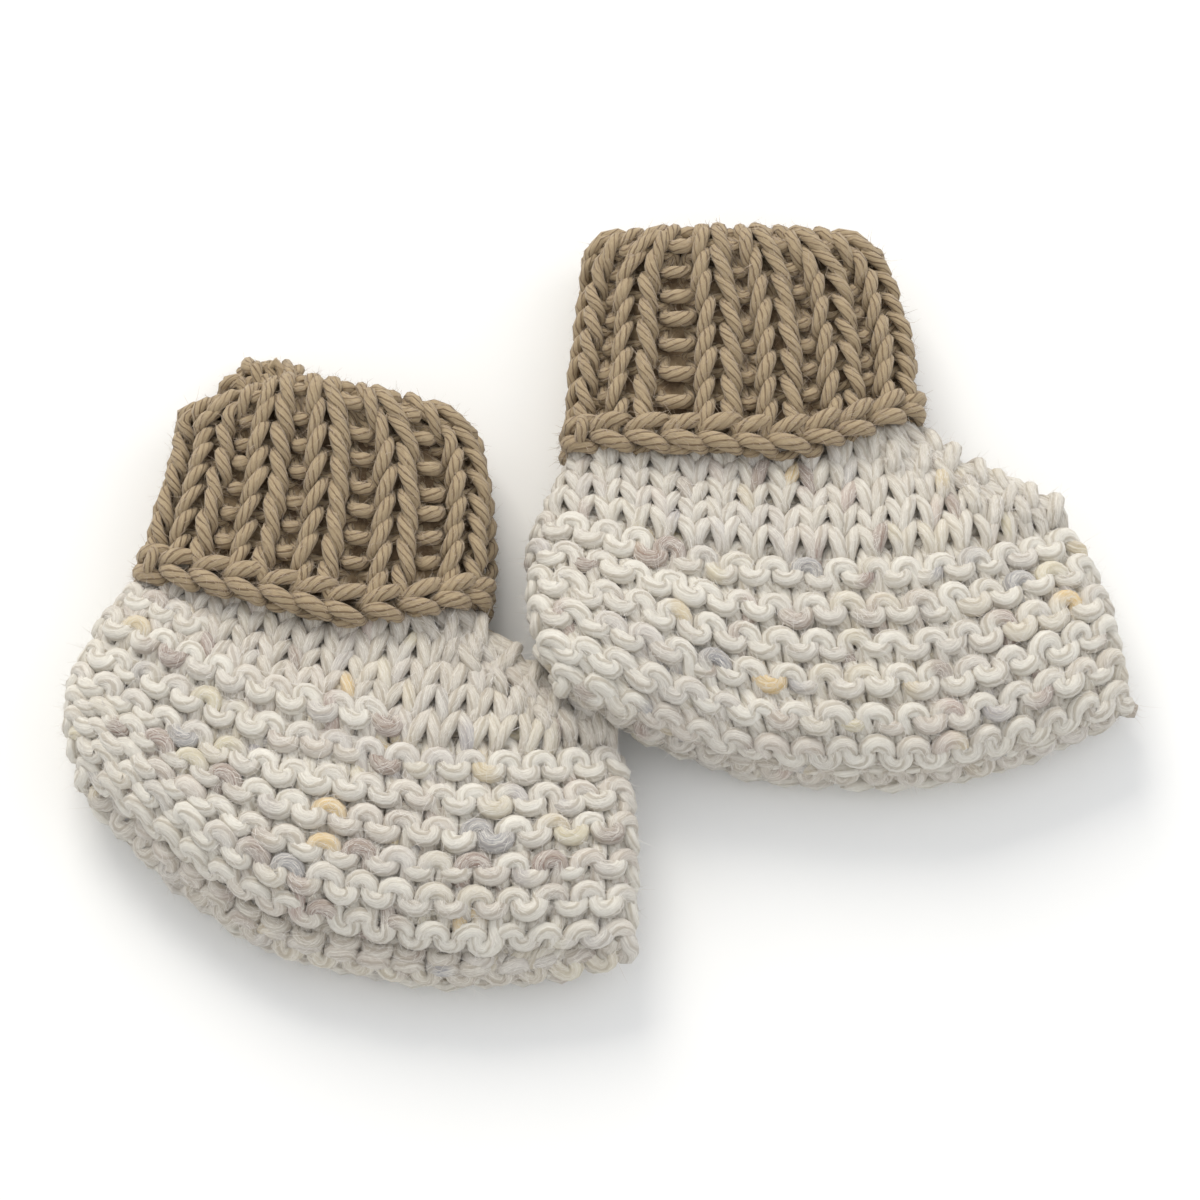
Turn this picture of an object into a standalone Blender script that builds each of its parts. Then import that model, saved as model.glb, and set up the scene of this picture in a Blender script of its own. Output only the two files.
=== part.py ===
"""A pair of hand-knit baby booties, each lying flat on its side. Metres, +Z up, resting on Z = 0.

Each bootie is four knitted pieces: a garter-stitch foot with its sole, a plain-stitch instep that
narrows to the ankle, a ribbed cuff turned down over the ankle, and the bound-off chain at its edge.
Every piece is a closed band of cloth. It is made from rings that run from the heel fold, over the
upper side, round the toe fold and back along the side that lies on the table.
"""

from collections import namedtuple

import bmesh
import bpy
import numpy as np

MM = 0.001

# The knitting, in millimetres unless a line says otherwise.
MIDDLE_HEIGHT = 10.0  # from the table to the plane between a bootie's two sides
FOOT_WALL = 2.8
INSTEP_WALL = 2.2
CUFF_LAYER = 2.8
LAYER_GAP = 0.4  # between the two layers of the turned-down cuff
SEAM_GAP = 0.3
ROW_RISE = 6.4  # from one garter ridge to the next
PLAIN_BELOW = (0.5, 4.0)  # heights over which ridges and ribs die away towards the table
GARTER_RIDGES = 7  # on each side, counted from the sole seam to the instep
RIDGE_HEIGHT = 1.3
RIDGE_FULLNESS = 0.7  # exponent of a ridge's outline: below 1 its top is broader than its valleys
RIDGE_SAMPLES = 4  # rings to a ridge
FOOT_LINING = (6.0, 4.5, 3.2, 2.2, 1.5)  # courses of the foot's plain inside, from the top down
INSTEP_ENDS = 11.0  # the instep's last course, hidden in the cuff
INSTEP_LINING_BEGINS = 7.6  # above the outside's first course, so that the lower rim is bevelled
RIB_COLUMNS = 6  # raised columns on each side of the cuff
RIB_HEIGHT = 1.4
RIB_FULLNESS = 0.6
CHAIN_LINKS = 12  # on each side of the cuff's edge
CHAIN_TALL = 5.4
CHAIN_THICK = 4.2
CHAIN_PROUD = 0.38  # the share of its half thickness that stands out past the cuff
CHAIN_WAIST = 0.16  # how much a link narrows where the next begins, as a share

# A ring's plan line rises towards both folds. Places along it run from 0 at the heel to 1 at the toe.
HEEL_BEND_ENDS = 0.45
HEEL_BEND_POWER = 1.6
TOE_BEND_STARTS = 0.6
TOE_BEND_POWER = 1.7
FLATNESS = 0.6  # exponent of a ring's cross outline: 1 is an ellipse, 0 a rectangle

# Each row is one ring, in the bootie's own plan: X from heel to toe, Y from sole to cuff.
# near_rise and far_rise reach up and down from the middle plane.
Ring = namedtuple("Ring", "course heel_x heel_y middle_y toe_x toe_y near_rise far_rise")

# course counts garter ridges from the sole seam; past the seventh they are plain rows.
FOOT_RINGS = (
    Ring(0.0, 8.6, 14.0, 1.8, 98.2, 14.2, 0.8, 0.8),
    Ring(0.5, 6.2, 12.4, 0.4, 100.0, 12.6, 2.4, 3.4),
    Ring(1.0, 5.0, 13.6, 1.0, 100.2, 14.0, 4.8, 7.0),
    Ring(1.5, 4.0, 16.0, 2.9, 100.0, 16.2, 6.8, 9.6),
    Ring(2.0, 3.0, 18.6, 5.4, 99.6, 18.8, 8.0, 11.4),
    Ring(3.0, 1.4, 24.0, 11.4, 98.4, 23.8, 9.0, 12.4),
    Ring(4.0, 0.5, 29.4, 17.8, 97.2, 29.2, 9.3, 12.6),
    Ring(5.0, 0.2, 34.8, 24.2, 95.6, 34.6, 9.3, 12.6),
    Ring(6.0, 0.9, 40.2, 30.6, 93.0, 39.8, 9.1, 12.4),
    Ring(7.0, 2.8, 45.4, 36.8, 90.2, 46.0, 8.8, 12.0),
)
INSTEP_RINGS = (
    Ring(7.0, 2.8, 45.4, 36.8, 90.2, 46.0, 8.8, 12.0),
    Ring(8.0, 5.2, 50.6, 43.2, 81.2, 50.8, 7.8, 10.4),
    Ring(9.0, 7.4, 54.8, 49.6, 71.4, 55.8, 6.4, 7.6),
    Ring(10.0, 10.4, 59.4, 56.4, 61.8, 62.8, 6.0, 6.1),
    Ring(11.0, 10.4, 64.7, 63.2, 60.8, 70.6, 6.0, 6.1),
)
# Here course is the distance up the cuff from its lower edge.
CUFF_RINGS = (
    Ring(0.0, 6.2, 57.4, 55.6, 65.2, 64.4, 10.0, 13.5),
    Ring(8.0, 6.2, 65.0, 63.6, 65.2, 71.2, 10.0, 13.5),
    Ring(16.0, 7.0, 72.8, 71.6, 64.6, 77.6, 10.0, 13.5),
    Ring(24.0, 8.2, 80.6, 79.6, 62.8, 84.0, 10.0, 13.5),
    Ring(32.0, 9.2, 88.2, 87.4, 60.6, 89.8, 10.0, 13.5),
    Ring(37.0, 10.4, 93.0, 92.2, 58.8, 92.8, 9.6, 13.0),
    Ring(42.0, 12.8, 96.4, 96.6, 56.0, 95.4, 9.0, 12.4),
)
CUFF_STARTS = CHAIN_TALL + SEAM_GAP  # the cuff's first row, above the chain
CUFF_TURNS = 37.0  # where the outer layer begins to turn over the top
CUFF_MIDDLE = 24.0
ANKLE_JOIN = 8.2  # the cuff's inner layer begins here, on the instep's last row
LINING_TOP = 36.0  # where the inner layer's own surface begins to turn over
BETWEEN_TOP = 35.5  # how far up the space between the two layers reaches
FOLD_ANGLES = (30.0, 65.0, 100.0, 140.0)  # degrees, round the top fold

# The toe fold thins at the top of the garter foot, where the fabric is drawn together.
TOE_THINNING = 0.5
TOE_THIN_PLACE = (0.72, 1.0)
TOE_THIN_BEGINS = (3.5, 7.0)
TOE_THIN_ENDS = (8.4, 10.4)

# turn is in degrees; at is the own plan's corner. lip is how far the lower half of the sole
# stands out past the upper one. heel_cut and toe_drop are how far the sole is drawn up at the
# heel and hangs down at the toe. lean and narrow slant the cuff towards the heel and take in its
# toe side. peek is how far the cuff's lower layers stand out at its top heel corner, and lift how
# high the heel is raised by the bootie that it rests on.
Bootie = namedtuple("Bootie", "side turn at_x at_y lip heel_cut toe_drop lean narrow peek lift")
BOOTIES = (
    Bootie("left", -12.0, -95.0, -50.5, 4.6, 7.0, 3.4, 2.0, 1.6, 4.6, 0.0),
    Bootie("right", -1.0, -12.3, -29.9, 1.0, -1.6, 1.2, 0.0, -0.4, 1.0, 7.2),
)
LIFT_CENTRE = (6.0, 14.0)
LIFT_REACH = 36.0
LIP_COURSES = (1.0, 6.0)
NARROW_COURSES = (7.5, 10.0)
LIP_NEAR_SHARE = 0.8  # the rest of the step is the lower half standing out

# Points along half a ring, from fold to fold.
FOOT_STEPS = 26
CUFF_STEPS = RIB_COLUMNS * 6
CHAIN_STEPS = CHAIN_LINKS * 3
CHAIN_SIDES = 8
FINE_STEPS = 96

# Colour in linear RGB, roughness, metallic.
CREAM_YARN = ((0.72, 0.69, 0.62), 0.9, 0.0)
TAN_YARN = ((0.36, 0.29, 0.19), 0.9, 0.0)
SHARP_ANGLE = 40.0


def smoothstep(low, high, value):
    share = np.clip((value - low) / (high - low), 0.0, 1.0)
    return share * share * (3.0 - 2.0 * share)


def ring_values(rings, courses):
    """Every column of a ring table at the given courses, on smooth curves through its rows."""
    table = np.array(rings, float)
    knots, values = table[:, 0], table[:, 1:]
    slopes = np.gradient(values, knots, axis=0)
    row = np.clip(np.searchsorted(knots, courses, side="right") - 1, 0, len(knots) - 2)
    span = (knots[row + 1] - knots[row])[:, None]
    t = (np.asarray(courses) - knots[row])[:, None] / span
    smooth = (
        values[row] * (1 + 2 * t) * (1 - t) ** 2
        + slopes[row] * span * t * (1 - t) ** 2
        + values[row + 1] * t**2 * (3 - 2 * t)
        + slopes[row + 1] * span * t**2 * (t - 1)
    )
    return smooth.T[:, :, None]


def bends(place):
    """How far up a ring's line has bent at each place, as shares of its rise at the heel and the toe."""
    heel = np.clip(1.0 - place / HEEL_BEND_ENDS, 0.0, 1.0) ** HEEL_BEND_POWER
    toe = np.clip((place - TOE_BEND_STARTS) / (1.0 - TOE_BEND_STARTS), 0.0, 1.0) ** TOE_BEND_POWER
    return heel, toe


def foot_drape(bootie, course, place, crown, near):
    """How a foot or instep ring departs from the table: steps in x and y, and its share of the rise."""
    heel, toe = bends(place)
    lip = bootie.lip * (LIP_NEAR_SHARE if near else LIP_NEAR_SHARE - 1.0) * crown
    step_y = lip + bootie.heel_cut * heel - bootie.toe_drop * toe
    step_x = -bootie.narrow * place * smoothstep(*NARROW_COURSES, course)
    thin_course = smoothstep(*TOE_THIN_BEGINS, course) * (1.0 - smoothstep(*TOE_THIN_ENDS, course))
    rise_share = 1.0 - TOE_THINNING * smoothstep(*TOE_THIN_PLACE, place) * thin_course
    return step_x, step_y * (1.0 - smoothstep(*LIP_COURSES, course)), rise_share


def cuff_drape(bootie, course, place, crown, near):
    """The same for a cuff ring, which leans back and lets its lower layers peek out at the top."""
    step_x = -bootie.lean * (course - ANKLE_JOIN) / CUFF_TURNS - bootie.narrow * place
    peek = 0.0 if near else bootie.peek
    step_y = peek * np.clip(1.0 - place / HEEL_BEND_ENDS, 0.0, 1.0) * (course / CUFF_TURNS) ** 2
    return step_x, step_y, 1.0


Cloth = namedtuple("Cloth", "rings drape")
FOOT = Cloth(FOOT_RINGS, foot_drape)
INSTEP = Cloth(INSTEP_RINGS, foot_drape)
CUFF = Cloth(CUFF_RINGS, cuff_drape)


def half_rings(cloth, courses, insets, bootie, near):
    """One side of each ring in the own plan, from the heel fold to the toe fold."""
    heel_x, heel_y, middle_y, toe_x, toe_y, near_rise, far_rise = ring_values(cloth.rings, courses)
    course = np.asarray(courses, float)[:, None]
    inset = np.broadcast_to(insets, len(courses))[:, None]
    angle = np.linspace(0.0, np.pi, FINE_STEPS)[None, :]
    place = (1.0 - np.cos(angle)) / 2.0
    crown = np.sin(angle) ** FLATNESS
    heel, toe = bends(place)
    step_x, step_y, rise_share = cloth.drape(bootie, course, place, crown, near)
    x = heel_x + inset + (toe_x - heel_x - 2.0 * inset) * place + step_x
    y = middle_y + (heel_y - middle_y) * heel + (toe_y - middle_y) * toe + step_y
    if near:
        z = MIDDLE_HEIGHT + (near_rise * rise_share - inset) * crown
    else:
        z = MIDDLE_HEIGHT - (far_rise * rise_share - inset) * crown
        z = np.maximum(z, np.maximum(inset, 0.0))
    return np.stack([x, y, z + lifted(x, y, bootie)], axis=-1)


def lifted(x, y, bootie):
    away = np.hypot(x - LIFT_CENTRE[0], y - LIFT_CENTRE[1])
    return bootie.lift * (1.0 - smoothstep(0.0, LIFT_REACH, away))


def evenly(lines, steps):
    """Each line resampled at equal distances along itself."""
    even = []
    for line in lines:
        run = np.concatenate([[0.0], np.cumsum(np.linalg.norm(np.diff(line, axis=0), axis=1))])
        stations = np.linspace(0.0, run[-1], steps + 1)
        even.append(np.stack([np.interp(stations, run, line[:, axis]) for axis in range(3)], axis=-1))
    return np.array(even)


def full_rings(cloth, courses, insets, bootie, steps):
    """Closed rings: the near side from heel to toe, then the far side from toe to heel."""
    near = evenly(half_rings(cloth, courses, insets, bootie, True), steps)
    far = evenly(half_rings(cloth, courses, insets, bootie, False), steps)
    return np.concatenate([near[:, :-1], far[:, :0:-1]], axis=1)


def outward(points):
    """The unit directions that point out of a grid of rings."""
    along = np.roll(points, -1, axis=1) - np.roll(points, 1, axis=1)
    across = np.gradient(points, axis=0)
    normal = np.cross(along, across)
    return normal / np.maximum(np.linalg.norm(normal, axis=-1, keepdims=True), 1e-9)


def raised(points, height):
    """The grid moved out by a height that dies away where the cloth turns under to the table."""
    clear = smoothstep(*PLAIN_BELOW, points[..., 2])
    moved = points + outward(points) * (height * clear)[..., None]
    moved[..., 2] = np.maximum(moved[..., 2], 0.0)
    return moved


def in_the_room(points, bootie):
    """Own plan, millimetres, to the place on the table, metres."""
    turn = np.radians(bootie.turn)
    x = points[..., 0] * np.cos(turn) - points[..., 1] * np.sin(turn) + bootie.at_x
    y = points[..., 0] * np.sin(turn) + points[..., 1] * np.cos(turn) + bootie.at_y
    return np.stack([x, y, points[..., 2]], axis=-1) * MM


def band_faces(ring_count, ring_length, closed):
    """Four-sided faces between neighbouring rings; a closed band joins its last ring to its first."""
    faces = []
    for ring in range(ring_count if closed else ring_count - 1):
        above = (ring + 1) % ring_count
        for step in range(ring_length):
            after = (step + 1) % ring_length
            faces.append(
                (
                    ring * ring_length + step,
                    ring * ring_length + after,
                    above * ring_length + after,
                    above * ring_length + step,
                )
            )
    return faces


def strip_faces(first, ring_length):
    """Faces that close a flattened ring by joining its near side to its far side."""
    faces = []
    for step in range(ring_length // 2):
        corners = [step, step + 1, ring_length - step - 1, (ring_length - step) % ring_length]
        unique = list(dict.fromkeys(corners))
        faces.append(tuple(first + corner for corner in unique))
    return faces


def add_piece(name, bootie, points, faces, finish):
    corners = in_the_room(points, bootie).reshape(-1, 3)
    shape = bmesh.new()
    vertices = [shape.verts.new(corner) for corner in corners]
    for face in faces:
        shape.faces.new([vertices[corner] for corner in face])
    bmesh.ops.recalc_face_normals(shape, faces=shape.faces)
    mesh = bpy.data.meshes.new(name)
    shape.to_mesh(mesh)
    shape.free()
    mesh.materials.append(yarn_material(name, finish))
    mesh.shade_smooth()
    mesh.set_sharp_from_angle(angle=np.radians(SHARP_ANGLE))
    piece = bpy.data.objects.new(name, mesh)
    bpy.context.scene.collection.objects.link(piece)
    return piece


def yarn_material(name, finish):
    colour, roughness, metallic = finish
    material = bpy.data.materials.new(name)
    material.use_nodes = True
    shader = material.node_tree.nodes["Principled BSDF"]
    shader.inputs["Base Color"].default_value = (*colour, 1.0)
    shader.inputs["Roughness"].default_value = roughness
    shader.inputs["Metallic"].default_value = metallic
    return material


def garter_foot(bootie):
    """The foot and sole in one wall: raised ridges outside, plain inside, closed along the sole."""
    outer_courses = np.linspace(0.0, GARTER_RIDGES, GARTER_RIDGES * RIDGE_SAMPLES + 1)
    outer_courses[-1] -= SEAM_GAP / 2.0 / ROW_RISE
    outer = full_rings(FOOT, outer_courses, 0.0, bootie, FOOT_STEPS)
    ridge = (0.5 - 0.5 * np.cos(2.0 * np.pi * outer_courses)) ** RIDGE_FULLNESS * RIDGE_HEIGHT
    outer = raised(outer, np.broadcast_to(ridge[:, None], outer.shape[:2]))
    inner_courses = np.concatenate([outer_courses[-1:], FOOT_LINING])
    inner = full_rings(FOOT, inner_courses, FOOT_WALL, bootie, FOOT_STEPS)
    points = np.concatenate([outer, inner])
    length = points.shape[1]
    faces = band_faces(len(points), length, closed=False)
    faces += strip_faces(0, length)
    faces += strip_faces((len(points) - 1) * length, length)
    return add_piece(f"{bootie.side}_foot", bootie, points, faces, CREAM_YARN)


def plain_instep(bootie):
    """The narrowing band between the garter foot and the ankle, as a wall open at both ends."""
    lowest = GARTER_RIDGES + SEAM_GAP / 2.0 / ROW_RISE
    outer = full_rings(INSTEP, np.linspace(lowest, INSTEP_ENDS, 8), 0.0, bootie, FOOT_STEPS)
    inner_courses = np.linspace(INSTEP_ENDS, INSTEP_LINING_BEGINS, 4)
    inner = full_rings(INSTEP, inner_courses, INSTEP_WALL, bootie, FOOT_STEPS)
    points = np.concatenate([outer, inner])
    faces = band_faces(len(points), points.shape[1], closed=True)
    return add_piece(f"{bootie.side}_instep", bootie, points, faces, CREAM_YARN)


def ribbed_cuff(bootie):
    """The turned-down cuff as one wall: up inside the ankle, over the top and down outside."""
    reach = CUFF_LAYER + LAYER_GAP / 2.0
    behind = CUFF_LAYER + LAYER_GAP
    # Each station is a course, an inset from the cuff's outside and a share of the rib's height.
    stations = [(course, 0.0, 1.0) for course in np.linspace(CUFF_STARTS, CUFF_TURNS, 6)]
    for angle in np.radians(FOLD_ANGLES):
        rib_share = max(np.cos(angle), 0.0)
        stations.append((CUFF_TURNS + reach * np.sin(angle), reach * (1.0 - np.cos(angle)), rib_share))
    stations += [(course, CUFF_LAYER + behind, 0.0) for course in (LINING_TOP, CUFF_MIDDLE, ANKLE_JOIN)]
    stations += [(course, behind, 0.0) for course in (ANKLE_JOIN, CUFF_MIDDLE, BETWEEN_TOP)]
    stations += [(course, CUFF_LAYER, 0.0) for course in (BETWEEN_TOP, CUFF_MIDDLE, CUFF_STARTS)]
    courses, insets, rib_shares = np.array(stations).T
    points = full_rings(CUFF, courses, insets, bootie, CUFF_STEPS)
    column = np.arange(points.shape[1]) / CUFF_STEPS * RIB_COLUMNS
    rib = (0.5 - 0.5 * np.cos(2.0 * np.pi * column)) ** RIB_FULLNESS * RIB_HEIGHT
    points = raised(points, rib_shares[:, None] * rib[None, :])
    faces = band_faces(len(points), points.shape[1], closed=True)
    return add_piece(f"{bootie.side}_cuff", bootie, points, faces, TAN_YARN)


def chain_edge(bootie):
    """The bound-off chain along the cuff's lower edge: a thick cord with a waist at every link."""
    around = np.arange(CHAIN_SIDES) * 2.0 * np.pi / CHAIN_SIDES
    courses = CHAIN_TALL / 2.0 * (1.0 + np.cos(around))
    insets = CHAIN_THICK / 2.0 * (1.0 - CHAIN_PROUD + np.sin(around))
    points = full_rings(CUFF, courses, insets, bootie, CHAIN_STEPS)
    centre = points.mean(axis=0, keepdims=True)
    link = np.arange(points.shape[1]) / CHAIN_STEPS * CHAIN_LINKS
    waist = 1.0 - CHAIN_WAIST * (0.5 + 0.5 * np.cos(2.0 * np.pi * link))
    points = centre + (points - centre) * waist[None, :, None]
    faces = band_faces(len(points), points.shape[1], closed=True)
    return add_piece(f"{bootie.side}_cuff_edge", bootie, points, faces, TAN_YARN)


def clear_scene():
    for thing in list(bpy.data.objects):
        bpy.data.objects.remove(thing)


def build():
    clear_scene()
    for bootie in BOOTIES:
        garter_foot(bootie)
        plain_instep(bootie)
        ribbed_cuff(bootie)
        chain_edge(bootie)


build()
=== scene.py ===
# %% [markdown]
# # A pair of hand-knit baby booties
#
# Two newborn booties lie flat on their sides. Each has a foot in garter stitch, a narrowing band
# of plain stitch over the instep, and a ribbed cuff of thicker tan cotton, turned down and ended
# with a bound-off chain. Knitting is one long yarn bent into rows of loops, so this lesson bends
# the yarn as the needles did, row by row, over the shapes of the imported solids. A bump map of
# loops would be lighter, but its outline would be smooth and its gaps would hold no shadow.

from collections import namedtuple

import bpy
import numpy as np
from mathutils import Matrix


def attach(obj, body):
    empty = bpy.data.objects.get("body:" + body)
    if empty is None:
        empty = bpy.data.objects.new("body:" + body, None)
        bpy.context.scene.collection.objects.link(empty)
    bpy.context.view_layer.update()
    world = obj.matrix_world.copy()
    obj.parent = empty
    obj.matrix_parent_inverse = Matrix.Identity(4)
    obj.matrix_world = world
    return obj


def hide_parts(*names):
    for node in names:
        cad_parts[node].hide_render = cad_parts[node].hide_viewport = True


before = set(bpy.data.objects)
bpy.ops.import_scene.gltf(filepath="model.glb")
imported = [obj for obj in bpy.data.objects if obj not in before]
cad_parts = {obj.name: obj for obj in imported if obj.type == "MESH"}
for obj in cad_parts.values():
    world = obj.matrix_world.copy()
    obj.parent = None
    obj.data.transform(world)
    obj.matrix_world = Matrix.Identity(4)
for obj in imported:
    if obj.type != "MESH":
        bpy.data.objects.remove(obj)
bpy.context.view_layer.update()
MM = 0.001
print("solids:", ", ".join(sorted(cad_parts)))

# %% [markdown]
# ## The shape under the stitches
#
# Each bootie is a stack of closed rings. A ring runs from the heel fold over the upper side to the
# toe fold, and back along the side that lies on the table. The rings of the solids are repeated
# here as small tables, in millimetres, because the yarn has to follow them between their points.
# A course counts garter ridges up from the sole seam; on the cuff it is millimetres.

# %% Ring tables
Ring = namedtuple("Ring", "course heel_x heel_y middle_y toe_x toe_y near_rise far_rise")

BODY_RINGS = (
    Ring(0.0, 8.6, 14.0, 1.8, 98.2, 14.2, 0.8, 0.8),
    Ring(0.5, 6.2, 12.4, 0.4, 100.0, 12.6, 2.4, 3.4),
    Ring(1.0, 5.0, 13.6, 1.0, 100.2, 14.0, 4.8, 7.0),
    Ring(1.5, 4.0, 16.0, 2.9, 100.0, 16.2, 6.8, 9.6),
    Ring(2.0, 3.0, 18.6, 5.4, 99.6, 18.8, 8.0, 11.4),
    Ring(3.0, 1.4, 24.0, 11.4, 98.4, 23.8, 9.0, 12.4),
    Ring(4.0, 0.5, 29.4, 17.8, 97.2, 29.2, 9.3, 12.6),
    Ring(5.0, 0.2, 34.8, 24.2, 95.6, 34.6, 9.3, 12.6),
    Ring(6.0, 0.9, 40.2, 30.6, 93.0, 39.8, 9.1, 12.4),
    Ring(7.0, 2.8, 45.4, 36.8, 90.2, 46.0, 8.8, 12.0),
    Ring(8.0, 5.2, 50.6, 43.2, 81.2, 50.8, 7.8, 10.4),
    Ring(9.0, 7.4, 54.8, 49.6, 71.4, 55.8, 6.4, 7.6),
    Ring(10.0, 10.4, 59.4, 56.4, 61.8, 62.8, 6.0, 6.1),
    Ring(11.0, 10.4, 64.7, 63.2, 60.8, 70.6, 6.0, 6.1),
)
CUFF_RINGS = (
    Ring(0.0, 6.2, 57.4, 55.6, 65.2, 64.4, 10.0, 13.5),
    Ring(8.0, 6.2, 65.0, 63.6, 65.2, 71.2, 10.0, 13.5),
    Ring(16.0, 7.0, 72.8, 71.6, 64.6, 77.6, 10.0, 13.5),
    Ring(24.0, 8.2, 80.6, 79.6, 62.8, 84.0, 10.0, 13.5),
    Ring(32.0, 9.2, 88.2, 87.4, 60.6, 89.8, 10.0, 13.5),
    Ring(37.0, 10.4, 93.0, 92.2, 58.8, 92.8, 9.6, 13.0),
    Ring(42.0, 12.8, 96.4, 96.6, 56.0, 95.4, 9.0, 12.4),
)
ROW_RISE = 6.4  # millimetres from one garter ridge to the next
MIDDLE_HEIGHT = 10.0  # of the heel and toe folds over the table
CUFF_TURNS = 37.0  # the cuff's course where it folds over at the top
ANKLE_JOIN = 8.2  # the cuff's course where it is joined to the instep, inside
print("rings:", len(BODY_RINGS), "up the foot and instep,", len(CUFF_RINGS), "up the cuff")

# %% [markdown]
# No two hand-made booties lie alike. The left one has its sole's lower half standing out past the
# upper half and its cuff pushed askew, so that the back layer of its top edge shows as a hump near
# the heel; the right one rests its heel on the left one's toe. A few numbers for each bend one set
# of rings into both. Those of the cuff's top heel corner, peek, sag and bulge, are finer than the
# solids' own, and the others are the same.

# %% How each bootie lies
Bootie = namedtuple("Bootie", "side turn at_x at_y lip heel_cut toe_drop lean narrow peek sag bulge lift")
LEFT = Bootie(
    side="left",
    turn=-12.0,  # degrees; the rest are millimetres
    at_x=-95.0,
    at_y=-50.5,
    lip=4.6,  # the sole's lower half stands out this far past the upper one
    heel_cut=7.0,  # the sole rises this far to the heel fold
    toe_drop=3.4,  # and drops this far to the toe fold
    lean=2.0,  # the cuff leans to the heel side
    narrow=1.6,  # the toe side of the instep and cuff is taken in
    peek=7.2,  # the cuff's back layer rises in a hump
    sag=7.5,  # the cuff's top heel corner sags
    bulge=2.4,  # and stands out to the heel side
    lift=0.0,  # the heel is lifted off the table
)
RIGHT = Bootie(
    side="right",
    turn=-1.0,
    at_x=-12.3,
    at_y=-29.9,
    lip=1.0,
    heel_cut=-1.6,
    toe_drop=1.2,
    lean=0.0,
    narrow=-0.4,
    peek=2.2,
    sag=0.5,
    bulge=1.4,
    lift=7.2,
)
HEEL_BEND, HEEL_SHARPNESS = 0.45, 1.6  # the share of a ring that bends up to the heel fold
TOE_BEND, TOE_SHARPNESS = 0.4, 1.7
LIP_ABOVE, LIP_BELOW = 0.8, -0.2  # where the sole's edges go, as shares of the lip
SOLE_EASES = (1.0, 6.0)  # courses between which the sole's own bends die away
NARROWS = (7.5, 10.0)
THINS, THICKENS = (3.5, 7.0), (8.4, 10.4)  # the toe end is pressed flat between these courses
THIN_FROM, THIN_SHARE = 0.72, 0.5
HUMP_ENDS = 0.36  # how far along the top edge the cuff's back layer shows above the front one
FRONT_DIPS = 0.2  # how far the front layer sinks there, as a share of what the back one rises
FRONT_SAGS, BACK_SAGS = 0.3, 0.09  # how far along the top edge each layer's heel corner sags
SAG_SHARPNESS = 1.2  # above 1, most of the sag is at the corner itself


def smoothstep(low, high, value):
    share = np.clip((value - low) / (high - low), 0.0, 1.0)
    return share * share * (3.0 - 2.0 * share)


def bends(place):
    """How far a ring's line has risen towards the heel fold and the toe fold."""
    heel = np.clip(1.0 - place / HEEL_BEND, 0.0, 1.0) ** HEEL_SHARPNESS
    toe = np.clip((place - (1.0 - TOE_BEND)) / TOE_BEND, 0.0, 1.0) ** TOE_SHARPNESS
    return heel, toe


def body_drape(bootie, course, place, crown, near):
    """Steps in x and y, and the share of the rise that is left, on the foot and instep."""
    heel, toe = bends(place)
    lip = bootie.lip * (LIP_ABOVE if near else LIP_BELOW) * crown
    step_y = lip + bootie.heel_cut * heel - bootie.toe_drop * toe
    step_x = -bootie.narrow * place * smoothstep(*NARROWS, course)
    thin = smoothstep(*THINS, course) * (1.0 - smoothstep(*THICKENS, course))
    rise_share = 1.0 - THIN_SHARE * smoothstep(THIN_FROM, 1.0, place) * thin
    return step_x, step_y * (1.0 - smoothstep(*SOLE_EASES, course)), rise_share


def cuff_drape(bootie, course, place, crown, near):
    """The same on the cuff, whose rise is kept whole."""
    height = course / CUFF_TURNS
    heel_side = np.clip(1.0 - place / HEEL_BEND, 0.0, 1.0)
    step_x = -bootie.lean * (course - ANKLE_JOIN) / CUFF_TURNS - bootie.narrow * place
    step_x = step_x - bootie.bulge * heel_side**2 * height**3
    hump = np.sin(np.pi * np.clip(place / HUMP_ENDS, 0.0, 1.0))
    rises = -FRONT_DIPS * bootie.peek if near else bootie.peek
    corner = np.clip(1.0 - place / (FRONT_SAGS if near else BACK_SAGS), 0.0, 1.0)
    sags = bootie.sag * corner**SAG_SHARPNESS
    return step_x, rises * hump * height**2 - sags * height**3, 1.0


print("turned by, degrees:", LEFT.turn, "and", RIGHT.turn)

# %% [markdown]
# A ring table holds a handful of rings, and smooth curves through its columns give any ring
# between them. Each ring is then cut into equal steps along its own length, so that stitches laid
# on it come out evenly wide, even where the ring turns under at the folds.

# %% Rings between the table's rings
HALF_POINTS = 160  # along half a ring, before it is cut into equal steps
CROWN_ROUNDNESS = 0.6  # below 1, a ring is fuller near its folds than an ellipse
HEEL_TIP = (6.0, 14.0)  # x and y before the bootie is turned and set down
LIFT_REACH = 36.0  # millimetres from the heel's tip to where the sole lies on the table again


def ring_values(rings, courses):
    """Each column's value at the courses, on a smooth curve through the table's rings."""
    table = np.array(rings, float)
    knots, values = table[:, 0], table[:, 1:]
    slopes = np.gradient(values, knots, axis=0)
    row = np.clip(np.searchsorted(knots, courses, side="right") - 1, 0, len(knots) - 2)
    span = (knots[row + 1] - knots[row])[:, None]
    t = (np.asarray(courses) - knots[row])[:, None] / span
    start = values[row] * (1 + 2 * t) * (1 - t) ** 2 + slopes[row] * span * t * (1 - t) ** 2
    end = values[row + 1] * t**2 * (3 - 2 * t) + slopes[row + 1] * span * t**2 * (t - 1)
    return (start + end).T[:, :, None]


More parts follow.
